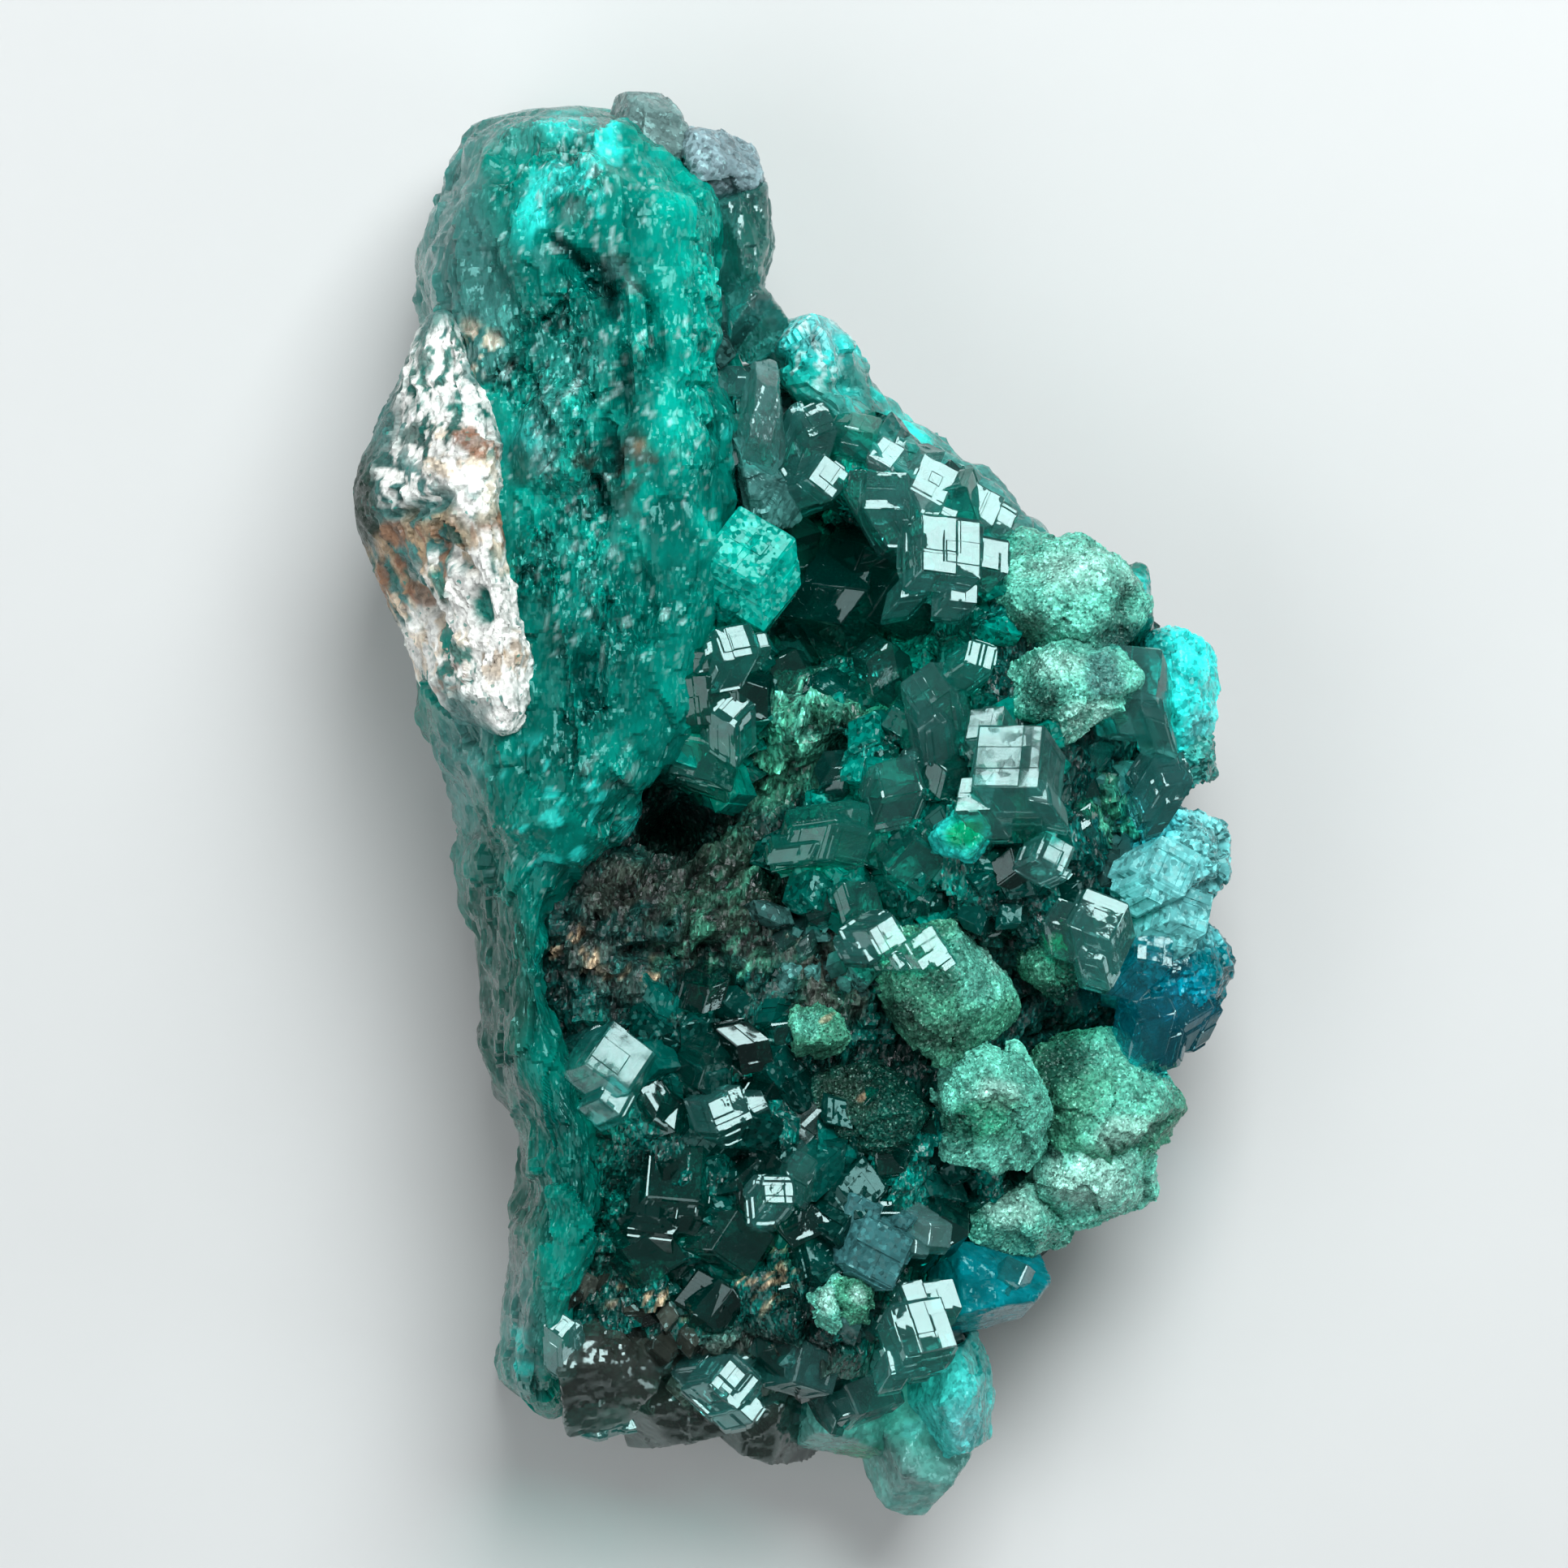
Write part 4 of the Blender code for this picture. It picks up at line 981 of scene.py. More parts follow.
def rough_skin(rows, look, spacing, wall, seed, settle_at=1.2):
    """A mass with its broken surface: pits and layers of broken faces along the normals, fading at the foot.

    The finer layers are strong in the broken areas and weak in the calm ones. Where crystals cover the mass,
    wide crystal faces take their place. The tint is painted lighter on raised faces and darker in pits and
    hollows, as painted shade. Returns the points, the quads, the tint and the finish.
    """
    points, quads = mass_surface(rows, spacing, wall)
    normals = point_normals(points, quads)
    stretched = points * np.array([1.0, look["stretch"], 1.0])
    broken = most_covered(points, look["calm"], look["broken"], 0.4, seed + 70)
    clusters = np.clip(0.6 + 0.9 * layered_noise(points, 1.1, seed + 81), 0.0, 1.0)
    broken = np.clip(broken * (0.35 + 0.9 * clusters), 0.0, 1.0)
    least = look.get("wall", 0.5)
    upward = np.clip(least + 0.9 * normals[:, 2], least, 1.0)
    crystals = most_covered(points, 0.0, look.get("crystals", ()), 0.3, seed + 170)
    relief = 0.7 * crystals * upward * broken_faces(points, 1.6, seed + 33)
    for number, (size, height) in enumerate(look["faces"]):
        strength = 0.45 + 0.55 * broken if number == 0 else 0.25 + 0.75 * broken
        strength = strength * (1.0 - 0.7 * crystals)
        relief += height * strength * upward * broken_faces(
            stretched + number * 7.3, size, seed + 20 * number,
        )
    rise = relief - sink(points, normals, look["pits"], seed)
    rise += look["swell"] * layered_noise(points, 3.0, seed + 90)
    rise += look.get("bumps", 0.32) * (
        1.0 - np.clip(normals[:, 2], 0.0, 1.0)
    ) * layered_noise(points, 1.6, seed + 95)
    to_end = np.minimum(points[:, 1] - points[:, 1].min(), points[:, 1].max() - points[:, 1])
    hold = np.clip(0.1 + to_end / 0.9, 0.1, 1.0)
    if points[:, 2].min() < 0.5:
        hold *= np.clip(points[:, 2] / settle_at, 0.0, 1.0)
    moved = points + normals * (rise * hold)[:, None]
    moved[:, 2] = np.maximum(moved[:, 2], 0.0)
    tint = paint(points, look["base"], look["patches"], seed + 50)
    tint = speckle(points, tint, look["speckles"], seed + 60)
    shade = broken_faces(stretched, 0.9, seed + 5, lean=0.0, step=1.0)
    cloud = layered_noise(points, 2.2, seed + 8)
    tint = tint * (1.0 + look["shade"] * shade * broken + 0.22 * cloud)[:, None]
    # Painted shade: raised faces are painted lighter, and pits and hollows darker.
    tint = tint * np.clip(1.0 + look["relief"] * relief, 0.35, 1.9)[:, None]
    tint = blend_patches(points, tint, look.get("windows", ()), 0.15, 0.22, seed + 150)
    return moved, quads, np.clip(tint, 0.0, 1.0), marks(broken, crystals)


# Nodes of materials.

def set_inputs(tree, node, inputs):
    """Gives each input of a node its plain value, or links it to the socket that feeds it."""
    for key, source in inputs.items():
        if isinstance(source, bpy.types.NodeSocket):
            tree.links.new(source, node.inputs[key])
        else:
            node.inputs[key].default_value = source


def put(tree, kind, inputs=None, **settings):
    """Adds one node. settings are its options, and inputs give plain values or the sockets that feed it."""
    node = tree.nodes.new(kind)
    for key, value in settings.items():
        setattr(node, key, value)
    set_inputs(tree, node, inputs or {})
    return node


def maths(tree, operation, *inputs):
    return put(tree, "ShaderNodeMath", dict(enumerate(inputs)), operation=operation).outputs[0]


def vectors(tree, operation, *inputs):
    return put(tree, "ShaderNodeVectorMath", dict(enumerate(inputs)), operation=operation).outputs[0]


def scaled(tree, vector, factor):
    """A vector or a colour times a factor."""
    return put(tree, "ShaderNodeVectorMath", {0: vector, "Scale": factor}, operation="SCALE").outputs[0]


def spread(tree, value, low, high, start=0.0, end=1.0):
    """The value's stretch from start to end, laid out from low to high."""
    ends = {"Value": value, "From Min": start, "From Max": end, "To Min": low, "To Max": high}
    return put(tree, "ShaderNodeMapRange", ends).outputs[0]


def blend(tree, share, one, two):
    return put(tree, "ShaderNodeMix", {0: share, 6: one, 7: two}, data_type="RGBA").outputs[2]


def channels(tree, tint):
    return put(tree, "ShaderNodeSeparateColor", {0: tint}).outputs


def cell_leans(tree, given):
    """Cells of the given size, and the random lean of each."""
    cells = put(tree, "ShaderNodeTexVoronoi", {"Vector": given["Vector"], "Scale": given["Scale"]})
    return cells, vectors(tree, "SUBTRACT", cells.outputs["Color"], (0.5, 0.5, 0.5))


def broken_relief(group, given):
    """Flat facets: in each cell the height is the offset from its point times its random lean."""
    cells, lean = cell_leans(group, given)
    offset = vectors(group, "SUBTRACT", given["Vector"], cells.outputs["Position"])
    height = put(
        group, "ShaderNodeVectorMath", {
            0: scaled(group, offset, given["Scale"]), 1: lean,
        }, operation="DOT_PRODUCT"
    )
    return height.outputs["Value"], channels(group, cells.outputs["Color"])[0]


def glitter(group, given):
    """Normals thrown about at random from cell to cell, so that small faces flash one by one."""
    thrown = scaled(group, cell_leans(group, given)[1], given["Amount"])
    surface = put(group, "ShaderNodeNewGeometry").outputs["Normal"]
    return (vectors(group, "NORMALIZE", vectors(group, "ADD", thrown, surface)),)


def growth_lines(group, given):
    """Fine parallel lines along one side of a crystal's face, as a height."""
    look = {
        "Distortion": 1.2, "Detail": 2.0, "Detail Scale": 1.5, "Vector": given["Vector"],
        "Scale": given["Scale"],
    }
    return (put(group, "ShaderNodeTexWave", look, wave_profile="SAW").outputs["Fac"],)


def mottle(group, given):
    """Cloudy variation from Low to High over the surface."""
    look = {"Detail": 4.0, "Roughness": 0.6, "Vector": given["Vector"], "Scale": given["Scale"]}
    noise = put(group, "ShaderNodeTexNoise", look).outputs["Fac"]
    return (spread(group, noise, given["Low"], given["High"], 0.3, 0.7),)


# Each node group: its maker, its inputs besides Vector with their defaults, and its outputs.
FLOAT, VECTOR = "NodeSocketFloat", "NodeSocketVector"
GROUPS = {
    "Broken relief": (broken_relief, {"Scale": 3000.0}, {"Height": FLOAT, "Shade": FLOAT}),
    "Glitter": (glitter, {"Scale": 6000.0, "Amount": 0.5}, {"Normal": VECTOR}),
    "Growth lines": (growth_lines, {"Scale": 2200.0}, {"Height": FLOAT}),
    "Mottle": (mottle, {"Scale": 800.0, "Low": 0.7, "High": 1.2}, {"Value": FLOAT}),
}


def make_group(name):
    """A shader group with its named sockets, and the nodes that its maker puts between them."""
    maker, defaults, results = GROUPS[name]
    group = bpy.data.node_groups.new(name, "ShaderNodeTree")
    group.interface.new_socket(name="Vector", in_out="INPUT", socket_type=VECTOR)
    for label, value in defaults.items():
        group.interface.new_socket(name=label, in_out="INPUT", socket_type=FLOAT).default_value = value
    for label, kind in results.items():
        group.interface.new_socket(name=label, in_out="OUTPUT", socket_type=kind)
    given = group.nodes.new("NodeGroupInput").outputs
    made = group.nodes.new("NodeGroupOutput").inputs
    for label, source in zip(results, maker(group, given)):
        group.links.new(source, made[label])
    return group


def use_group(tree, name, inputs):
    group = bpy.data.node_groups.get(name) or make_group(name)
    return put(tree, "ShaderNodeGroup", inputs, node_tree=group).outputs


def start_material(name):
    """A material with its Principled shader, and the inputs that every finish here reads."""
    material = bpy.data.materials.new(name)
    material.use_nodes = True
    tree = material.node_tree
    place = put(tree, "ShaderNodeTexCoord").outputs["Object"]
    tint = put(tree, "ShaderNodeAttribute", attribute_name="tint").outputs["Color"]
    finish = put(tree, "ShaderNodeAttribute", attribute_name="finish").outputs["Color"]
    return material, tree, tree.nodes["Principled BSDF"], place, tint, channels(tree, finish)


def glass_material(name, absorb, density, lit, roughness):
    """Clear crystal: plain transmission and absorption, with growth lines, fine relief and frosted faces.

    Rays from lamps pass straight through, tinted by lit, so that light reaches what is inside and behind.
    """
    material, tree, shader, place, tint, finish = start_material(name)
    lined, frosted = finish[0], finish[1]
    clouds = use_group(tree, "Mottle", {"Scale": 900.0, "Low": 0.75, "High": 1.1, "Vector": place})[0]
    on_face = put(tree, "ShaderNodeUVMap", uv_map="on_face").outputs[0]
    lines = use_group(tree, "Growth lines", {"Scale": 2300.0, "Vector": on_face})[0]
    facets = use_group(tree, "Broken relief", {"Scale": 3400.0, "Vector": place})[0]
    frost = maths(tree, "MULTIPLY", facets, maths(tree, "ADD", frosted, 0.3))
    height = maths(tree, "ADD", maths(tree, "MULTIPLY", lines, lined), frost)
    bump = put(
        tree, "ShaderNodeBump", {"Strength": 0.6, "Distance": LINE_DEPTH, "Height": height},
    ).outputs[0]
    set_inputs(tree, shader, {
        "Base Color": scaled(tree, tint, clouds), "Normal": bump,
        "Roughness": spread(tree, frosted, roughness, 0.42), "IOR": 1.7, "Metallic": 0.0,
        "Transmission Weight": 0.88, "Specular Tint": (0.74, 0.98, 0.96, 1.0),
    })
    lamp_ray = put(tree, "ShaderNodeLightPath").outputs["Is Shadow Ray"]
    through = put(tree, "ShaderNodeBsdfTransparent", {"Color": (*lit, 1.0)}).outputs[0]
    both = put(tree, "ShaderNodeMixShader", {0: lamp_ray, 1: shader.outputs[0], 2: through}).outputs[0]
    volume = put(
        tree, "ShaderNodeVolumeAbsorption", {"Color": (*absorb, 1.0), "Density": density},
    ).outputs[0]
    set_inputs(tree, tree.nodes["Material Output"], {"Surface": both, "Volume": volume})
    return material


def stone_material(
    name, cell, throw, rough, grain, grain_depth, calm=1.0, soft=0.0, soft_reach=0.0012, dark=0.6,
    light=1.25, stretch=1.0, turn=0.0, sliver=0.07, glint_and_grain_tone=(0.05, 0.17, 0.15), lift=1.7, bright=0.86,
    deepest=0.35, mirror=(1.0, 1.0, 1.0),
):
    """Opaque or half clear stone: tinted facets of light and dark, glitter, and fine grain.

    cell, stretch and turn set the facets' size and direction. calm is the share of glitter and relief left
    where the surface isn't broken. sliver is the size of the fine facets: the brightest are raised by lift
    and glint_and_grain_tone, and the dimmest darkened as far as deepest. The bright fine facets are painted
    glints, and teal grains in the calcite, where lift is 0. mirror tints what the surface reflects.
    """
    material, tree, shader, place, tint, finish = start_material(name)
    broken, crystal = finish[0], finish[1]
    stretched = {"Rotation": (0.0, 0.0, math.radians(turn)), "Scale": (1.0, stretch, 1.0), "Vector": place}
    turned = put(tree, "ShaderNodeMapping", stretched).outputs[0]
    strength = spread(tree, broken, 0.7 * calm, 0.7)
    share = spread(tree, broken, calm, 1.0)
    facets = use_group(tree, "Broken relief", {"Scale": 1.0 / (cell * MM), "Vector": turned})
    shade = maths(tree, "SUBTRACT", spread(tree, facets["Shade"], dark, light), 1.0)
    shade = maths(tree, "MULTIPLY_ADD", shade, share, 1.0)
    clouds = use_group(tree, "Mottle", {"Scale": 700.0, "Low": 0.75, "High": 1.25, "Vector": place})[0]
    base = scaled(tree, tint, maths(tree, "MULTIPLY", shade, clouds))
    fine = use_group(tree, "Broken relief", {"Scale": 1.0 / (sliver * MM), "Vector": turned})["Shade"]
    base = blend(tree, share, base, scaled(tree, base, spread(tree, fine, deepest, 1.0, 0.1, 0.4)))
    # Painted glints: the brightest fine facets take a lighter colour; in the calcite, where lift is 0, they
    # are teal grains.
    painted_glint_and_grain = vectors(tree, "MULTIPLY_ADD", base, (lift, lift, lift), glint_and_grain_tone)
    pale = spread(tree, fine, 0.0, 0.8, bright, bright + 0.03)
    base = blend(tree, maths(tree, "MULTIPLY", pale, share), base, painted_glint_and_grain)
    amount = spread(tree, broken, throw * calm, throw)
    sparks = use_group(
        tree, "Glitter", {"Scale": 1.0 / (cell * 0.5 * MM), "Vector": turned, "Amount": amount},
    )[0]
    noise = put(tree, "ShaderNodeTexNoise", {"Scale": grain, "Detail": 3.0, "Vector": place}).outputs["Fac"]
    normal = sparks
    for distance, height in ((cell * 0.3 * MM, facets["Height"]), (grain_depth * MM, noise)):
        relief = {"Distance": distance, "Strength": strength, "Height": height, "Normal": normal}
        normal = put(tree, "ShaderNodeBump", relief).outputs[0]
    wear = use_group(
        tree, "Mottle", {"Scale": 1500.0, "Low": rough * 0.7, "High": rough * 1.4, "Vector": place},
    )[0]
    set_inputs(tree, shader, {
        "Base Color": base, "Normal": normal, "IOR": 1.6,
        "Roughness": maths(tree, "MULTIPLY", wear, spread(tree, crystal, 1.0, 0.35)),
        "Specular IOR Level": 0.24, "Specular Tint": (*mirror, 1.0),
    })
    if soft > 0.0:
        set_inputs(tree, shader, {
            "Subsurface Weight": soft, "Subsurface Radius": (0.25, 1.0, 0.8), "Subsurface Scale": soft_reach,
        })
    return material


def make_materials():
    return {
        "clear": glass_material("clear_dioptase", (0.0, 0.80, 0.72), 300.0, (0.45, 0.95, 0.90), 0.04),
        "pale": glass_material("pale_dioptase", (0.30, 0.86, 0.80), 180.0, (0.75, 0.96, 0.94), 0.06),
        "blue": glass_material("blue_dioptase", (0.0, 0.70, 0.80), 260.0, (0.45, 0.93, 0.96), 0.05),
        "massive": stone_material(
            "massive_dioptase", 0.2, 1.1, 0.13, 5000.0, 0.02, calm=0.12, soft=0.5, soft_reach=0.0005,
            dark=0.45, light=1.5, stretch=0.4, turn=18.0, sliver=0.075, glint_and_grain_tone=(0.08, 0.30, 0.27),
            lift=1.5, bright=0.93, deepest=0.5, mirror=(0.4, 0.95, 0.9),
        ),
        "milky": stone_material(
            "milky_dioptase", 0.3, 0.7, 0.1, 3000.0, 0.01, calm=0.15, dark=0.6, light=1.4, sliver=0.15,
            glint_and_grain_tone=(0.02, 0.06, 0.055), bright=0.92, mirror=(0.5, 0.96, 0.92),
        ),
        "coated": stone_material(
            "coated_dioptase", 0.14, 1.1, 0.26, 7000.0, 0.03, dark=0.68, light=1.32, sliver=0.07,
            glint_and_grain_tone=(0.06, 0.12, 0.09), lift=1.9, bright=0.93, deepest=0.55, mirror=(0.7, 1.0, 0.92),
        ),
        "calcite": stone_material(
            "calcite_crust", 0.25, 0.5, 0.34, 4500.0, 0.04, dark=0.88, light=1.25, sliver=0.14,
            glint_and_grain_tone=(0.0, 0.22, 0.18), lift=0.0, bright=0.965, deepest=0.75,
        ),
        "rock": stone_material(
            "matrix_rock", 0.2, 0.8, 0.4, 5200.0, 0.05, dark=0.5, light=1.5, stretch=0.5, turn=-30.0,
            sliver=0.08, glint_and_grain_tone=(0.01, 0.03, 0.025), lift=2.2, bright=0.88,
        ),
    }


# Materials by finish, filled by whichever operator runs first.
FINISH = {}


def facing(
    x, y, z, tilt, azimuth, turn, radius, reach, tint="clear", steps=0, lines=0.0, frost=0.0, growths=2,
    glass=True,
):
    """A crystal by the middle of its end face, its lean, the direction to its tip, and its sizes."""
    return {
        "face": (x, y, z), "tilt": tilt, "azimuth": azimuth, "turn": turn, "radius": radius, "reach": reach,
        "tint": tint, "steps": steps, "finish": (lines, frost, lines) if glass else (frost, 0.0, lines),
        "growths": growths,
        "glass": glass,
    }


def lump(x, y, z, wide, long, high, tint="teal", faces=18, sharp=22.0, broken=0.0, patches=(), glass=False):
    """A rounded crystal by its middle and half sizes. It is milky unless it is glass."""
    return {
        "middle": (x, y, z), "sizes": (wide, long, high), "tint": tint, "faces": faces, "sharp": sharp,
        "finish": (0.0 if glass else broken, broken if glass else 0.0, 0.0), "patches": patches,
        "glass": glass,
    }


# Each piece: name, slot, and its crystals and lumps, as in the solid model.
GLASS_PIECES = [
    (
        "upper_stepped_crystal", "clear",
        [facing(5.05, 8.80, 13.7, 17, 70, 42, 1.70, 2.0, "clear_grey", 6, growths=3)],
    ),
    (
        "lower_stepped_crystal", "clear",
        [facing(4.15, -17.40, 12.1, 17, 70, 60, 1.55, 1.9, "clear_grey", 6, growths=3)],
    ),
    ("shard_pair", "pale", [
        facing(4.70, -14.30, 12.3, 25, 40, -50, 0.70, 1.4, "clear_pale", 0, 0.3, growths=1),
        facing(4.1, -14.7, 12.2, 25, 40, -50, 0.45, 1.0, "clear_pale", growths=0),
    ]),
    ("ledge_crystal", "clear", [
        facing(2.9, -4.2, 13.5, 17, 74, -14, 0.85, 1.4, "clear_grey", 4, 0.2, growths=3),
        facing(4.25, -4.6, 13.5, 17, 78, -12, 0.95, 1.4, "clear_grey", 4, 0.2, growths=3),
    ]),
    (
        "emerald_crystal", "clear",
        [
            lump(
                5.5, -0.85, 13.7, 1.0, 0.9, 1.3, "cyan", 20, 24.0, 0.4,
                patches=[("emerald", 5.5, -0.85, 0.6, 0.5, 0, 1.0)],
            )
        ],
    ),
    (
        "ring_crystal", "pale",
        [facing(8.50, -1.45, 14.0, 14, 60, 20, 0.90, 1.3, "clear_grey", 3, 0.0, 0.5, growths=2)],
    ),
    (
        "small_square_crystal", "clear",
        [facing(6.05, 5.15, 14.4, 17, 70, 30, 0.75, 1.3, "clear", 2, growths=1)],
    ),
    (
        "blocky_crystal", "clear",
        [facing(6.90, 1.80, 15.2, 20, 96, 130, 1.85, 2.4, "clear_grey", 3, 0.3, 0.35, growths=3)],
    ),
    (
        "sparkling_crystal", "clear",
        [facing(4.15, 4.10, 14.0, 30, 160, 80, 1.10, 1.8, "clear_grey", 4, 0.4, 0.3)],
    ),
    ("cube_crystal", "clear", [
        facing(-0.75, -12.75, 13.0, 16, 80, 48, 0.85, 1.3, "clear_grey", 3, 0.9, growths=2),
        facing(0.1, -12.0, 12.7, 24, 30, 100, 0.75, 1.2, "clear_grey", 2),
    ]),
    (
        "striated_lower_crystal", "clear",
        [facing(-2.40, -10.05, 12.9, 24, 100, -25, 1.10, 1.6, "clear_grey", 2, 1.0)],
    ),
    (
        "frosted_lower_crystal", "pale",
        [facing(-6.05, -8.30, 13.1, 17, 95, 10, 1.50, 2.0, "clear_teal", 1, 0.4, 0.4, growths=2)],
    ),
    (
        "bottom_stepped_crystal", "pale",
        [facing(-2.20, -19.30, 11.0, 17, 70, 5, 1.10, 1.6, "clear_grey", 6, growths=3)],
    ),
    (
        "striated_right_crystal", "clear",
        [facing(10.0, -3.50, 13.1, 18, 70, 110, 1.25, 1.8, "clear_grey", 2, 1.0, 0.1)],
    ),
    ("frosted_crystal", "pale", [
        # Its body colour is the painted glow of light shining through it.
        facing(-1.7, 8.8, 14.3, 16, 80, 100, 1.8, 2.5, "glow", 2, 0.2, 0.45, growths=2, glass=False),
        lump(-2.3, 6.9, 12.2, 0.8, 1.0, 2.1, "teal", 12, 34.0, 0.3),
        lump(-1.4, 10.9, 11.8, 0.7, 0.9, 2.0, "grey_teal", 12, 34.0, 0.3),
    ]),
    (
        "blade_crystal", "pale",
        [lump(-1.25, 13.2, 13.4, 0.62, 1.75, 1.7, "clear_pale", 12, 30.0, 0.2, glass=True)],
    ),
    ("slab_edge_crystals", "clear", [
        facing(-2.10, 5.60, 14.4, 20, 70, 60, 1.00, 1.6, "clear", 3, 0.6),
        facing(-2.30, 3.45, 13.9, 20, 70, 95, 0.95, 1.6, "clear", 2),
        facing(-3.90, 3.60, 13.9, 30, 230, 140, 1.50, 1.9, "clear_deep", 2),
        facing(-3.60, 1.70, 12.9, 30, 240, 120, 1.20, 1.7, "clear", 2),
    ]),
    ("top_edge_crystals", "pale", [
        lump(-5.0, 22.3, 9.6, 1.55, 1.55, 2.6, "smoke", 20, 18.0, 0.4),
        lump(-2.95, 21.6, 9.8, 1.6, 1.3, 2.6, "steel", 22, 16.0, 0.5),
        lump(-1.95, 19.25, 9.8, 0.97, 1.9, 2.4, "clear_grey", 16, broken=0.35, glass=True),
        lump(-1.85, 16.9, 9.6, 0.72, 1.3, 2.4, "clear_grey", 16, broken=0.3, glass=True),
    ]),
    ("ridge_crystals", "clear", [
        facing(0.55, 13.1, 12.0, 20, 70, 70, 0.95, 1.8, "clear_grey", 2, 0.8),
        facing(0.95, 11.2, 12.1, 17, 60, 10, 0.95, 1.6, "clear_grey", 2),
        facing(2.85, 10.7, 12.9, 20, 74, 130, 1.15, 1.9, "clear_grey", 2, 0.9),
        facing(4.5, 11.1, 12.4, 18, 66, 20, 1.1, 1.9, "clear_pale", 2, 0.3),
        facing(5.10, 10.1, 12.3, 25, 250, 60, 1.20, 1.9, "clear", 2),
        facing(2.9, 12.0, 12.0, 18, 75, 100, 0.8, 1.5, "clear_pale", 1, 0.4),
        facing(6.2, 10.3, 11.6, 20, 64, 20, 0.95, 1.6, "clear_pale", 1, 0.2),
        facing(1.9, 12.3, 12.0, 30, 250, 40, 0.9, 1.5, "clear", 1, 0.2),
    ]),
    (
        "smooth_grey_crystal", "pale",
        [facing(11.2, 4.60, 12.7, 22, 28, 130, 1.55, 2.3, "clear_grey", 1, 0.1, 0.3)],
    ),
    ("rim_crystals", "blue", [
        # Painted glow: bright_cyan stands for light shining through the rim from behind.
        lump(12.75, 3.9, 8.6, 1.4, 2.45, 2.9, "bright_cyan", 26, broken=0.6, patches=[
            ("teal", 12.0, 2.6, 0.7, 1.0, 0, 0.7), ("deep_teal", 11.8, 5.6, 0.7, 0.8, 0, 0.7),
            ("ice_teal", 13.6, 2.6, 0.5, 0.8, 0, 0.6),
        ]),
        lump(13.05, 1.8, 8.0, 1.12, 1.15, 2.4, "slope", 20, broken=1.0),
        facing(12.6, 1.4, 11.2, 26, 60, 60, 0.9, 1.6, "clear_grey", 2, 0.3),
        lump(
            11.2, 7.1, 8.8, 0.8, 1.1, 2.3, "teal", 14, broken=0.3,
            patches=[("cyan", 11.6, 7.5, 0.4, 0.5, 0, 0.8)],
        ),
    ]),
    ("right_edge_crystals", "blue", [
        lump(12.85, -1.75, 7.8, 1.95, 1.6, 3.1, "ice_teal", 26, broken=1.0),
        lump(12.55, -5.55, 7.4, 2.3, 2.3, 3.2, "blue_teal", 26, broken=0.8, patches=[
            ("ice_teal", 12.6, -4.2, 1.6, 0.6, 0, 0.7), ("blue", 13.0, -6.6, 1.4, 1.0, 0, 0.7),
        ]),
        facing(12.6, -1.9, 10.9, 20, 60, 20, 1.3, 1.9, "ice_teal", 3, 1.0, 0.5, glass=False),
        facing(13.2, -3.3, 10.6, 22, 50, 30, 1.2, 1.9, "ice_teal", 3, 1.0, 0.6, glass=False),
        facing(12.0, -4.6, 10.6, 24, 80, 40, 1.1, 1.9, "clear_blue", 2, 0.9, 0.2, growths=3),
        facing(11.8, -6.5, 10.3, 30, 110, 70, 1.2, 1.9, "clear_blue", 1, 0.6, growths=3),
        facing(13.2, -6.4, 9.9, 34, 20, 70, 1.2, 1.9, "clear_blue", 1, 0.4, growths=3),
    ]),
    ("teal_edge_crystal", "blue", [
        facing(7.2, -15.6, 10.5, 26, 120, 20, 0.7, 1.5, "clear_teal", 0, 0.5),
        lump(6.45, -16.35, 8.0, 1.75, 1.15, 2.9, "blue_teal", 14, 34.0, 0.15),
    ]),
    (
        "grey_face_crystal", "clear",
        [facing(2.65, -14.9, 12.5, 12, 250, 20, 1.5, 1.9, "grey_blue", 2, 0.4, 0.5, glass=False)],
    ),
    ("dark_lower_crystals", "clear", [
        facing(-4.2, -12.2, 12.0, 26, 140, 40, 1.6, 2.1, "clear_deep", 2),
        facing(-4.9, -15.0, 11.7, 28, 300, 80, 1.4, 1.9, "clear_deep", 2),
        facing(-1.9, -14.6, 11.9, 20, 300, 10, 1.4, 1.9, "clear_deep", 1),
        facing(-2.6, -16.8, 11.2, 28, 320, 100, 1.3, 1.8, "clear_deep", 2),
        facing(-0.4, -16.6, 11.2, 25, 300, 60, 1.0, 1.7, "clear_deep", 1),
    ]),
    ("middle_crystals", "clear", [
        facing(1.7, -1.2, 13.0, 30, 300, 30, 1.15, 2.0, "clear", 2, 0.3, growths=4),
        facing(3.3, 1.1, 13.3, 20, 120, 60, 1.1, 1.7, "clear_grey", 2, growths=3),
        facing(3.9, -1.9, 13.2, 22, 300, 100, 1.2, 1.9, "clear", 2, growths=3),
    ]),
    ("cavity_crystals", "clear", [
        facing(1.4, 8.4, 9.6, 40, 100, 40, 1.9, 2.5, "clear_deep", 0, growths=4),
        facing(3.7, 6.8, 9.8, 38, 275, 20, 1.9, 2.5, "clear_deep", 0, growths=4),
        facing(1.2, 6.0, 9.0, 36, 300, 80, 1.5, 2.0, "clear_deep", 0, growths=3),
    ]),
    ("tip_crystal", "pale", [lump(3.85, -21.85, 4.6, 1.55, 2.19, 2.7, "tip_teal", 12, 36.0, 0.2, patches=[
        ("smoke", 3.3, -22.6, 0.7, 0.9, 0, 0.6), ("ice_teal", 3.9, -21.2, 0.5, 0.3, 30, 0.5),
    ])]),
    (
        "corner_crystals", "blue",
        [
            lump(
                5.4, -20.1, 6.4, 0.95, 2.3, 3.0, "corner_teal", 18, 30.0, broken=0.35,
